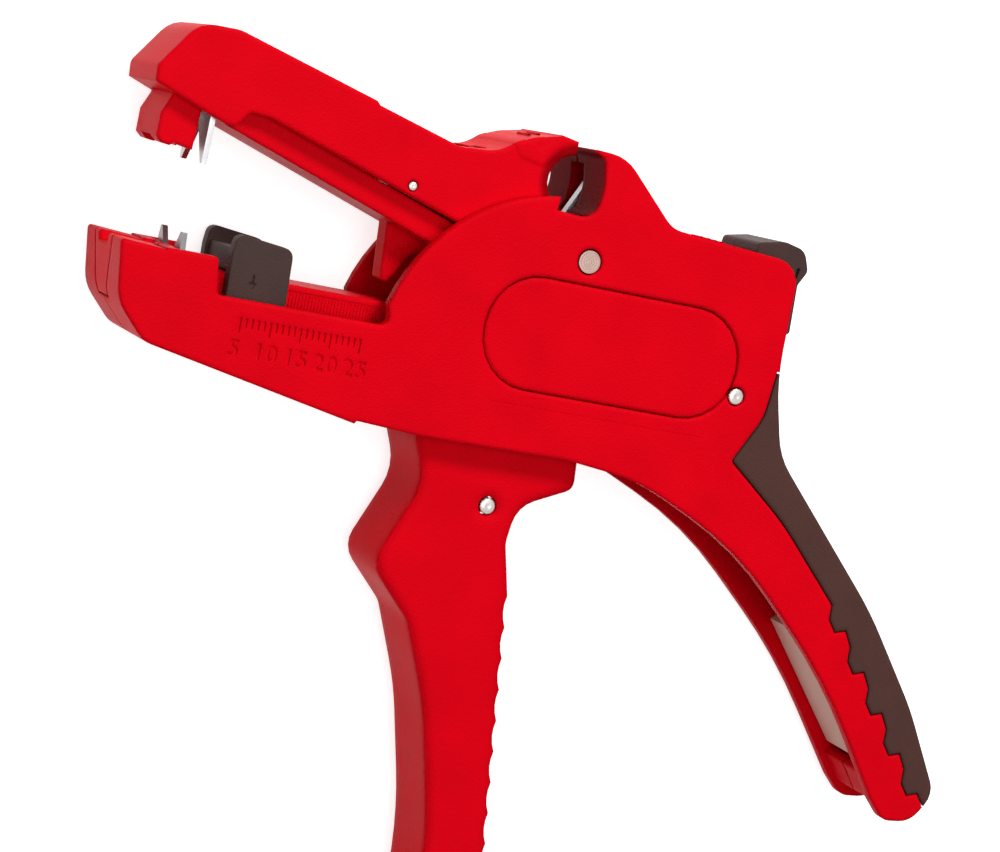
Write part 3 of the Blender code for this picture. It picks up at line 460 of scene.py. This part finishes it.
def turned_steel(name, colour, rough, centre):
    """Steel turned round an upright axis, with faint rings about its centre."""
    material, tree, shader, place = blank_material(name)
    shift = tree.nodes.new("ShaderNodeMapping")
    shift.inputs["Location"].default_value = (-centre[0], -centre[1], 0)
    tree.links.new(place.outputs["Object"], shift.inputs["Vector"])
    rings = tree.nodes.new("ShaderNodeTexWave")
    rings.wave_type = "RINGS"
    rings.rings_direction = "Z"
    rings.inputs["Scale"].default_value = 700.0
    rings.inputs["Distortion"].default_value = 1.5
    rings.inputs["Detail"].default_value = 2.0
    tree.links.new(shift.outputs["Vector"], rings.inputs["Vector"])
    spots = tree.nodes.new("ShaderNodeTexNoise")
    spots.inputs["Scale"].default_value = 900.0
    tree.links.new(place.outputs["Object"], spots.inputs["Vector"])
    two_tones(tree, spots.outputs["Fac"], shade(colour, 0.8), shade(colour, 1.1),
              shader.inputs["Base Color"])
    between(tree, spots.outputs["Fac"], rough + 0.08, rough - 0.06,
            shader.inputs["Roughness"])
    raised(tree, rings.outputs["Fac"], 0.00001, shader.inputs["Normal"])
    shader.inputs["Metallic"].default_value = 1.0
    return material


def body_plastic(name="red plastic", rim=None):
    """The red of the body, with painted shade inside the cutting hole."""
    found = bpy.data.materials.get(name)
    if found:
        return found
    f = bpy.context.scene.stripper_finish
    red = plastic(name, f.body_red, 0.38, f.grain, f.grain_depth, 0.06, 0.015,
                  f.body_rim if rim is None else rim)
    tree = red.node_tree
    shader = tree.nodes["Principled BSDF"]
    place = tree.nodes["Texture Coordinate"]
    # Painted shade: the colour is multiplied down on the walls of the cutting hole.
    hole = tree.nodes.new("ShaderNodeGroup")
    hole.node_tree = hole_shade()
    tree.links.new(place.outputs["Object"], hole.inputs["Vector"])
    dark = tree.nodes.new("ShaderNodeMix")
    dark.data_type = "RGBA"
    dark.blend_type = "MULTIPLY"
    dark.inputs[0].default_value = 1.0
    tree.links.new(shader.inputs["Base Color"].links[0].from_socket, dark.inputs[MIX_A])
    tree.links.new(hole.outputs["Tone"], dark.inputs[MIX_B])
    tree.links.new(dark.outputs[MIX_OUT], shader.inputs["Base Color"])
    return red


def blade_steel(name="blade steel", shade_tone=1.0):
    """Ground steel of the blades; a tone below 1 darkens it as painted shade."""
    colour = shade(bpy.context.scene.stripper_finish.blade, shade_tone)
    return ground_steel(name, colour, 0.3, (300.0, 300.0, 5200.0))


# Shapes

def welded(node):
    """A bmesh copy of a CAD solid, with its loose triangles joined to whole faces."""
    bm = bmesh.new()
    bm.from_mesh(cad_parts[node].data)
    bmesh.ops.remove_doubles(bm, verts=bm.verts, dist=WELD)
    bmesh.ops.dissolve_limit(bm, angle_limit=FLAT, verts=bm.verts, edges=bm.edges,
                             delimit={"NORMAL"})
    return bm


def soften(bm, crease, width):
    """Rounds the sharp edges and shades the rest smooth."""
    sharp = [e for e in bm.edges if e.is_manifold and e.calc_face_angle(0) > crease]
    if width > 0 and sharp:
        bmesh.ops.bevel(bm, geom=sharp, offset=width, offset_type="OFFSET", segments=2,
                        profile=0.5, affect="EDGES", clamp_overlap=True, material=-1)
    for face in bm.faces:
        face.smooth = True
    for edge in bm.edges:
        edge.smooth = not edge.is_manifold or edge.calc_face_angle(0) < crease


def piece(name, bm, material, body, replaced=()):
    """Makes a finished object of a bmesh, ties it to its body and hides the CAD parts it replaces."""
    mesh = bpy.data.meshes.new(name)
    bm.to_mesh(mesh)
    bm.free()
    for extra in ("custom_normal", "sharp_face"):
        if extra in mesh.attributes:
            mesh.attributes.remove(mesh.attributes[extra])
    mesh.materials.clear()
    mesh.materials.append(material)
    for polygon in mesh.polygons:
        polygon.material_index = 0
    made = bpy.data.objects.new(name, mesh)
    bpy.context.scene.collection.objects.link(made)
    even = made.modifiers.new("even shading", "WEIGHTED_NORMAL")
    even.keep_sharp = True
    even.weight = 60
    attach(made, body)
    if replaced:
        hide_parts(*replaced)
    return made


def dressed(node, material, body, width=None, crease=None, added=None):
    """The solid of a CAD node with softened edges, a finish and small additions."""
    f = bpy.context.scene.stripper_finish
    bm = welded(node)
    soften(bm, f.crease if crease is None else crease,
           f.edge_round if width is None else width)
    if added:
        added(bm, *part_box(node))
    return piece("finished_" + node, bm, material, body, (node,))


def cut_marks(made, marks, depth_name):
    """Sinks a mesh of marks into a finished piece."""
    cutter = bpy.data.objects.new(depth_name, marks)
    bpy.context.scene.collection.objects.link(cutter)
    step = made.modifiers.new("sunk marks", "BOOLEAN")
    step.operation = "DIFFERENCE"
    step.solver = "EXACT"
    step.object = cutter
    graph = bpy.context.evaluated_depsgraph_get()
    made.modifiers.move(len(made.modifiers) - 1, 0)
    even = made.modifiers["even shading"]
    even.show_viewport = False
    graph.update()
    cut = bpy.data.meshes.new_from_object(made.evaluated_get(graph))
    made.modifiers.remove(step)
    even.show_viewport = True
    made.data = cut
    bpy.data.objects.remove(cutter)


def box_of(bm, low, high):
    """Adds a box between two corners to a bmesh."""
    low, high = Vector(low), Vector(high)
    grown = bmesh.ops.create_cube(bm, size=1)
    bmesh.ops.scale(bm, vec=high - low, verts=grown["verts"])
    bmesh.ops.translate(bm, vec=(low + high) / 2, verts=grown["verts"])
    return grown["verts"]


def slab(bm, middle, size, turn=0.0):
    """Adds a box round a middle, turned about the upright axis through it."""
    verts = box_of(bm, [-x / 2 for x in size], [x / 2 for x in size])
    bmesh.ops.rotate(bm, cent=(0, 0, 0), matrix=Matrix.Rotation(turn, 3, "Z"), verts=verts)
    bmesh.ops.translate(bm, vec=middle, verts=verts)


def ball(bm, middle, radius, flat=1.0):
    """Adds a sphere, flattened along Z."""
    grown = bmesh.ops.create_uvsphere(bm, u_segments=24, v_segments=12, radius=radius)
    bmesh.ops.scale(bm, vec=(1, 1, flat), verts=grown["verts"])
    bmesh.ops.translate(bm, vec=middle, verts=grown["verts"])
    for vert in grown["verts"]:
        for face in vert.link_faces:
            face.smooth = True
    return grown["verts"]


def sink(made, shapes, name):
    """Cuts shapes that a function adds to a bmesh out of a finished piece."""
    bm = bmesh.new()
    shapes(bm)
    mesh = bpy.data.meshes.new(name)
    bm.to_mesh(mesh)
    bm.free()
    cut_marks(made, mesh, name)


def number_mesh(text, size, thick, wider):
    """A number as a closed flat mesh round its own middle, thick on both sides."""
    letters = bpy.data.curves.new("number", "FONT")
    letters.body = text
    letters.size = size
    letters.extrude = thick
    letters.offset = wider
    letters.space_character = 1.15
    letters.resolution_u = 3
    letters.align_x = "CENTER"
    letters.align_y = "CENTER"
    holder = bpy.data.objects.new("number", letters)
    mesh = bpy.data.meshes.new_from_object(holder)
    bpy.data.objects.remove(holder)
    return mesh


def scale_marks(face_z):
    """Marks and numbers of the strip-length scale, through the given face."""
    s = bpy.context.scene.stripper_scale
    bm = bmesh.new()
    x0, top = s.start
    for n in range(s.marks):
        long = s.long_mark if n % NUMBER_STEP == 0 else s.short_mark
        x = x0 + n * s.pitch
        box_of(bm, (x - s.mark_width / 2, top - long, face_z - s.sink),
               (x + s.mark_width / 2, top, face_z + s.sink))
    for n in range(s.marks // NUMBER_STEP + 1):
        number = number_mesh(str(NUMBER_STEP * (n + 1)), s.digit, s.sink, s.stroke)
        x = x0 + NUMBER_STEP * n * s.pitch - (FIRST_SHIFT if n == 0 else 0)
        number.transform(Matrix.Translation((x, top - s.long_mark - NUMBER_DROP, face_z)))
        bm.from_mesh(number)
        bpy.data.meshes.remove(number)
    bmesh.ops.remove_doubles(bm, verts=bm.verts, dist=WELD)
    marks = bpy.data.meshes.new("scale marks")
    bm.to_mesh(marks)
    bm.free()
    return marks


def panel_groove(bm):
    """The faint line that runs along under the side panel."""
    width = bpy.context.scene.stripper_detail.groove
    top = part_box("housing_front")[1].z
    slab(bm, (*GROOVE_MIDDLE, top), (GROOVE_LENGTH, width, width))


def rail_ribs(bm, low, high):
    """Fine upright ribs and a lip above them, on both sides of the stop rail."""
    d = bpy.context.scene.stripper_detail
    lip = high.y - RAIL_LIP
    count = int((high.x - low.x - RAIL_ENDS) / d.rib_pitch)
    for side, face in ((1, high.z), (-1, low.z)):
        middle_z = face + side * d.rib / 2
        slab(bm, ((low.x + high.x) / 2, (lip + high.y) / 2, middle_z),
             (high.x - low.x, high.y - lip, d.rib))
        for n in range(count):
            slab(bm, (low.x + FIRST_RIB + n * d.rib_pitch, lip - RIB_DROP, middle_z),
                 (d.rib_pitch * 0.5, RIB_LENGTH, d.rib))


def stop_signs(bm):
    """An arrow on the near wing of the length stop, over the scale."""
    d = bpy.context.scene.stripper_detail
    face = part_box("length_stop")[1].z
    slab(bm, (ARROW_X, ARROW_SHAFT_Y, face), (*ARROW_SHAFT, 2 * d.sunk))
    head = bmesh.ops.create_cone(bm, cap_ends=True, segments=3, radius1=ARROW_HEAD,
                                 radius2=ARROW_HEAD, depth=2 * d.sunk)
    bmesh.ops.rotate(bm, cent=(0, 0, 0), matrix=Matrix.Rotation(math.pi, 3, "Z"), verts=head["verts"])
    bmesh.ops.translate(bm, vec=(ARROW_X, ARROW_HEAD_Y, face), verts=head["verts"])


def dial_slot(bm):
    """Slot in the near face of the tension lever."""
    d = bpy.context.scene.stripper_detail
    slab(bm, (*SLOT_MIDDLE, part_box("tension_dial")[1].z), (*SLOT_SIZE, 6 * d.sunk), SLOT_TURN)


def top_bars(bm):
    """Short bars across the top edge, in front of the tension lever."""
    edge_x, edge_y = TOP_EDGE
    for n in range(TOP_BARS):
        x = (TOP_BAR_X + TOP_BAR_PITCH * n) * MM
        slab(bm, (x, edge_y - (x - edge_x) * TOP_SLOPE, TOP_BAR_Z), TOP_BAR_SIZE)


def arm_crest(bm):
    """Rounds the arm's crest out beside the cutting hole, flush with its sides."""
    f = bpy.context.scene.stripper_finish
    crest = bmesh.new()
    side = crest.faces.new([crest.verts.new((x * MM, y * MM, CREST_LOW)) for x, y in CREST])
    grown = bmesh.ops.extrude_face_region(crest, geom=[side])
    upper = [v for v in grown["geom"] if isinstance(v, bmesh.types.BMVert)]
    bmesh.ops.translate(crest, vec=(0, 0, CREST_HIGH - CREST_LOW), verts=upper)
    bmesh.ops.recalc_face_normals(crest, faces=crest.faces)
    peak = Vector(CREST[1]) * MM
    bend = [e for e in crest.edges if all((v.co.xy - peak).length < WELD for v in e.verts)]
    bmesh.ops.bevel(crest, geom=bend, offset=CREST_BEND, offset_type="OFFSET", segments=10,
                    profile=0.5, affect="EDGES", clamp_overlap=True, material=-1)
    top = [e for e in crest.edges if min(v.co.y for v in e.verts) > CREST_FOOT
           and abs(e.verts[0].co.z - e.verts[1].co.z) < WELD]
    bmesh.ops.bevel(crest, geom=top, offset=f.edge_round, offset_type="OFFSET", segments=2,
                    profile=0.5, affect="EDGES", clamp_overlap=True, material=-1)
    soften(crest, f.crease, 0)
    mesh = bpy.data.meshes.new("arm crest")
    crest.to_mesh(mesh)
    crest.free()
    bm.from_mesh(mesh)
    bpy.data.meshes.remove(mesh)


def arm_signs(bm, low, high):
    """The crest, with two rings and two bars that stand out on top of the arm."""
    arm_crest(bm)
    upright = Matrix.Rotation(math.pi / 2, 4, "X") @ Matrix.Scale(2.0, 4, (0, 1, 0))
    for n in range(2):
        bpy.ops.mesh.primitive_torus_add(
            major_segments=28, minor_segments=8, major_radius=RING_RADIUS, minor_radius=RING_WIRE)
        ring = bpy.context.object
        ring_place = ((-29.4 + 3.0 * n) * MM, 27.45 * MM + n * 0.24 * MM, SIGN_Z)
        ring.data.transform(Matrix.Translation(ring_place) @ upright)
        bm.from_mesh(ring.data)
        bpy.data.objects.remove(ring)
        slab(bm, ((-19.4 + 1.6 * n) * MM, (31.36 + 0.36 * n) * MM, SIGN_Z), CREST_BAR_SIZE)


def rivet_head(node, ends):
    """A function that domes a pin's ends and leaves a dimple in each dome."""
    d = bpy.context.scene.stripper_detail
    low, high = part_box(node)
    middle = (low + high) / 2
    radius = (high.x - low.x) / 2

    def domes(bm, low, high):
        for z in [high.z, low.z][:ends]:
            head = ball(bm, (middle.x, middle.y, z), radius * 0.97, d.dome / radius)
            for vert in head:
                if (vert.co.xy - middle.xy).length < WELD:
                    vert.co.z -= math.copysign(d.dimple, vert.co.z - z)
    return domes


# Pieces

class WIRESTRIPPER_OT_housing(bpy.types.Operator):
    """Two halves of the red housing, with the strip-length scale in the front one"""
    bl_idname = "wirestripper.housing"
    bl_label = "Housing"

    def execute(self, context):
        red = body_plastic()
        front = dressed("housing_front", red, "housing")
        dressed("housing_back", red, "housing")
        cut_marks(front, scale_marks(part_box("housing_front")[1].z), "scale cutter")
        sink(front, panel_groove, "groove cutter")
        bars = bmesh.new()
        top_bars(bars)
        piece("top_bars", bars, red, "housing")
        for node in ("side_panel_front", "side_panel_back"):
            dressed(node, red, "housing")
        return {"FINISHED"}


class WIRESTRIPPER_OT_jaw(bpy.types.Operator):
    """Clamp insert and stop rail of the lower jaw"""
    bl_idname = "wirestripper.jaw"
    bl_label = "Lower jaw"

    def execute(self, context):
        red = body_plastic()
        dressed("lower_clamp", red, "housing", 0.0001)
        dressed("stop_rail", red, "housing", 0.0001, added=rail_ribs)
        return {"FINISHED"}


class WIRESTRIPPER_OT_arm(bpy.types.Operator):
    """Upper arm with its clamp jaw"""
    bl_idname = "wirestripper.arm"
    bl_label = "Upper arm"

    def execute(self, context):
        red = body_plastic("arm plastic", context.scene.stripper_finish.arm_rim)
        dressed("upper_arm", red, "arm", added=arm_signs)
        dressed("clamp_jaw", red, "arm", 0.0001)
        return {"FINISHED"}


class WIRESTRIPPER_OT_lever(bpy.types.Operator):
    """Hand lever with the scalloped rear edge"""
    bl_idname = "wirestripper.lever"
    bl_label = "Hand lever"

    def execute(self, context):
        red = body_plastic("lever plastic", context.scene.stripper_finish.lever_rim)
        dressed("lever_handle", red, "lever", 0.0002)
        return {"FINISHED"}


class WIRESTRIPPER_OT_grip(bpy.types.Operator):
    """Soft covers and the pale plate of the rear grip"""
    bl_idname = "wirestripper.grip"
    bl_label = "Rear grip"

    def execute(self, context):
        f = context.scene.stripper_finish
        soft = plastic("soft grip", f.grip_brown, 0.62, f.grain, f.grain_depth, 0.08, 0.1,
                       f.body_rim)
        for node in ("grip_cover_front", "grip_cover_back"):
            dressed(node, soft, "housing", 0.00015)
        # The plate's pink tint is painted red bounce light.
        pale = plastic("pale plastic", f.pale, 0.5, f.grain, f.grain_depth, 0.04)
        dressed("handle_plate", pale, "housing", 0.0002)
        return {"FINISHED"}


class WIRESTRIPPER_OT_dark(bpy.types.Operator):
    """Dark length stop and tension lever"""
    bl_idname = "wirestripper.dark"
    bl_label = "Length stop and tension lever"

    def execute(self, context):
        f = context.scene.stripper_finish
        dark = plastic("dark plastic", f.stop_brown, 0.5, f.grain, f.grain_depth, 0.1, 0.1, 0.0006)
        sink(dressed("length_stop", dark, "stop", 0.0002), stop_signs, "arrow cutter")
        sink(dressed("tension_dial", dark, "dial", 0.0002), dial_slot, "slot cutter")
        return {"FINISHED"}


class WIRESTRIPPER_OT_blades(bpy.types.Operator):
    """Stripping blades with their slides and pull links"""
    bl_idname = "wirestripper.blades"
    bl_label = "Blades and slides"

    def execute(self, context):
        steel, red = blade_steel(), body_plastic()
        dressed("upper_blade", steel, "upper_slide", 0.00004)
        # The lower blade's steel is darkened to 0.4 as painted shade.
        dressed("lower_blade", blade_steel("dark blade steel", 0.4), "lower_slide", 0.00004)
        dressed("upper_carriage", red, "upper_slide", 0.0001)
        dressed("lower_carriage", red, "lower_slide", 0.0001)
        for node in ("pull_link_front", "pull_link_back"):
            dressed(node, steel, "lower_slide", 0.00005)
        return {"FINISHED"}


class WIRESTRIPPER_OT_cutters(bpy.types.Operator):
    """Fixed and moving blades of the side cutter"""
    bl_idname = "wirestripper.cutters"
    bl_label = "Side cutter"

    def execute(self, context):
        steel = blade_steel()
        dressed("fixed_cutter", steel, "housing", 0.00005)
        dressed("moving_cutter", steel, "lever", 0.00005)
        return {"FINISHED"}


class WIRESTRIPPER_OT_pins(bpy.types.Operator):
    """Pins and rivets"""
    bl_idname = "wirestripper.pins"
    bl_label = "Pins and rivets"

    def execute(self, context):
        f = context.scene.stripper_finish
        on_bodies = {
            "housing": ("main_pin", "rear_rivet", "cutter_pin", "tension_dial_pin", "spring_post"),
            "arm": ("arm_pin",),
            "lower_slide": ("link_pin",),
            "lever": ("lever_pin", "drive_pin", "spring_pin"),
        }
        heads = {"rear_rivet": 1, "lever_pin": 2, "arm_pin": 2}
        for body, nodes in on_bodies.items():
            for node in nodes:
                low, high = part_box(node)
                colour = f.main_pin if node == "main_pin" else f.steel
                metal = turned_steel("turned " + node, colour, 0.34, (low + high) / 2)
                domes = rivet_head(node, heads[node]) if node in heads else None
                dressed(node, metal, body, 0.00008, added=domes)
        return {"FINISHED"}


class WIRESTRIPPER_OT_force(bpy.types.Operator):
    """Force setting and springs inside the housing"""
    bl_idname = "wirestripper.force"
    bl_label = "Force setting and springs"

    def execute(self, context):
        red = body_plastic()
        wire = ground_steel("spring wire", context.scene.stripper_finish.steel, 0.3,
                            (900.0, 900.0, 900.0))
        for node in ("pressure_block", "pressure_plunger"):
            dressed(node, red, "housing", 0.0001)
        for node in ("pressure_spring", "return_spring"):
            dressed(node, wire, "housing", 0, math.radians(60))
        return {"FINISHED"}


# Studio

def area_lamp(name, place, aim, size, power):
    """A round lamp at a place, turned towards its aim."""
    lamp = bpy.data.lights.new(name, "AREA")
    lamp.shape = "DISK"
    lamp.size = size
    lamp.energy = power
    holder = bpy.data.objects.new(name, lamp)
    holder.location = place
    holder.rotation_euler = (Vector(aim) - Vector(place)).to_track_quat("-Z", "Y").to_euler()
    bpy.context.scene.collection.objects.link(holder)


def camera_ray(tree):
    """1 where the camera, a mirror or glass looks, and 0 for the light that falls on things."""
    path = tree.nodes.new("ShaderNodeLightPath")
    seen = path.outputs["Is Camera Ray"]
    for other in ("Is Glossy Ray", "Is Transmission Ray"):
        add = tree.nodes.new("ShaderNodeMath")
        add.operation = "MAXIMUM"
        tree.links.new(seen, add.inputs[0])
        tree.links.new(path.outputs[other], add.inputs[1])
        seen = add.outputs[0]
    return seen


def soft_room(strength):
    """Even light from all round, which the camera and mirrors see as white."""
    world = bpy.data.worlds.new("soft room")
    world.use_nodes = True
    bpy.context.scene.world = world
    tree = world.node_tree
    sky = tree.nodes["Background"]
    sky.inputs["Color"].default_value = (1, 1, 1, 1)
    seen = camera_ray(tree)
    level = tree.nodes.new("ShaderNodeMapRange")
    level.inputs["To Min"].default_value = strength
    level.inputs["To Max"].default_value = 1.0
    tree.links.new(seen, level.inputs["Value"])
    tree.links.new(level.outputs["Result"], sky.inputs["Strength"])


def paper_floor(colour):
    """A wide pale floor just under the tool, which keeps its shadow."""
    bm = bmesh.new()
    bmesh.ops.create_grid(bm, x_segments=1, y_segments=1, size=FLOOR_HALF)
    bmesh.ops.translate(bm, vec=(0, 0, CAD_BOX[0].z - FLOOR_GAP), verts=bm.verts)
    mesh = bpy.data.meshes.new("floor")
    bm.to_mesh(mesh)
    bm.free()
    floor = bpy.data.objects.new("floor", mesh)
    bpy.context.scene.collection.objects.link(floor)
    paper, tree, shader, place = blank_material("floor paper")
    shader.inputs["Base Color"].default_value = (*colour, 1)
    shader.inputs["Roughness"].default_value = 0.9
    shader.inputs["Emission Color"].default_value = (1, 1, 1, 1)
    lift = tree.nodes.new("ShaderNodeMath")
    lift.operation = "MULTIPLY"
    lift.inputs[1].default_value = FLOOR_LIFT
    tree.links.new(camera_ray(tree), lift.inputs[0])
    tree.links.new(lift.outputs[0], shader.inputs["Emission Strength"])
    mesh.materials.append(paper)


def tilted_camera(s):
    """The camera, turned and tilted from straight above and rolled about its sight."""
    back = Vector((-math.sin(s.turn) * math.cos(s.tilt), math.sin(s.tilt),
                   math.cos(s.turn) * math.cos(s.tilt)))
    level_right = Vector((0, 1, 0)).cross(back).normalized()
    level_up = back.cross(level_right)
    right = math.cos(s.roll) * level_right + math.sin(s.roll) * level_up
    up = back.cross(right)
    turned = Matrix((right, up, back)).transposed()
    data = bpy.data.cameras.new("camera")
    data.sensor_width = 36.0
    data.lens = s.lens
    data.clip_start = 0.01
    camera = bpy.data.objects.new("camera", data)
    camera.matrix_world = Matrix.Translation(s.place) @ turned.to_4x4()
    bpy.context.scene.collection.objects.link(camera)
    bpy.context.scene.camera = camera


class WIRESTRIPPER_OT_studio(bpy.types.Operator):
    """Pale floor, soft light and the camera"""
    bl_idname = "wirestripper.studio"
    bl_label = "Studio"

    def execute(self, context):
        s = context.scene.stripper_studio
        context.scene.view_settings.view_transform = "Standard"
        soft_room(s.sky)
        paper_floor(s.floor)
        for name, place, aim, size in LAMPS:
            area_lamp(name, place, aim, size, getattr(s, name))
        tilted_camera(s)
        return {"FINISHED"}


class WIRESTRIPPER_PT_panel(bpy.types.Panel):
    """Lists the settings and the operators in the order in which they run"""
    bl_idname = "WIRESTRIPPER_PT_panel"
    bl_label = "Wire stripper"
    bl_space_type = "VIEW_3D"
    bl_region_type = "UI"
    bl_category = "Wire stripper"

    def draw(self, context):
        for group in SETTINGS:
            settings = getattr(context.scene, group)
            column = self.layout.column()
            for name in settings.__annotations__:
                column.prop(settings, name)
        for step in STEPS:
            self.layout.operator(step.bl_idname)


SETTINGS = {
    "stripper_finish": FinishSettings,
    "stripper_scale": ScaleSettings,
    "stripper_detail": DetailSettings,
    "stripper_studio": StudioSettings,
}
STEPS = (
    WIRESTRIPPER_OT_housing,
    WIRESTRIPPER_OT_jaw,
    WIRESTRIPPER_OT_arm,
    WIRESTRIPPER_OT_lever,
    WIRESTRIPPER_OT_grip,
    WIRESTRIPPER_OT_dark,
    WIRESTRIPPER_OT_blades,
    WIRESTRIPPER_OT_cutters,
    WIRESTRIPPER_OT_pins,
    WIRESTRIPPER_OT_force,
    WIRESTRIPPER_OT_studio,
)


def register():
    """Adds the settings, the operators and the panel to Blender."""
    for group in SETTINGS.values():
        bpy.utils.register_class(group)
    for name, group in SETTINGS.items():
        setattr(bpy.types.Scene, name, bpy.props.PointerProperty(type=group))
    for step in STEPS:
        bpy.utils.register_class(step)
    bpy.utils.register_class(WIRESTRIPPER_PT_panel)


def unregister():
    """Takes them away again."""
    bpy.utils.unregister_class(WIRESTRIPPER_PT_panel)
    for step in reversed(STEPS):
        bpy.utils.unregister_class(step)
    for name in SETTINGS:
        delattr(bpy.types.Scene, name)
    for group in reversed(list(SETTINGS.values())):
        bpy.utils.unregister_class(group)


def main():
    """Runs each step once."""
    register()
    for step in STEPS:
        family, name = step.bl_idname.split(".")
        getattr(getattr(bpy.ops, family), name)()


if __name__ == "__main__":
    main()
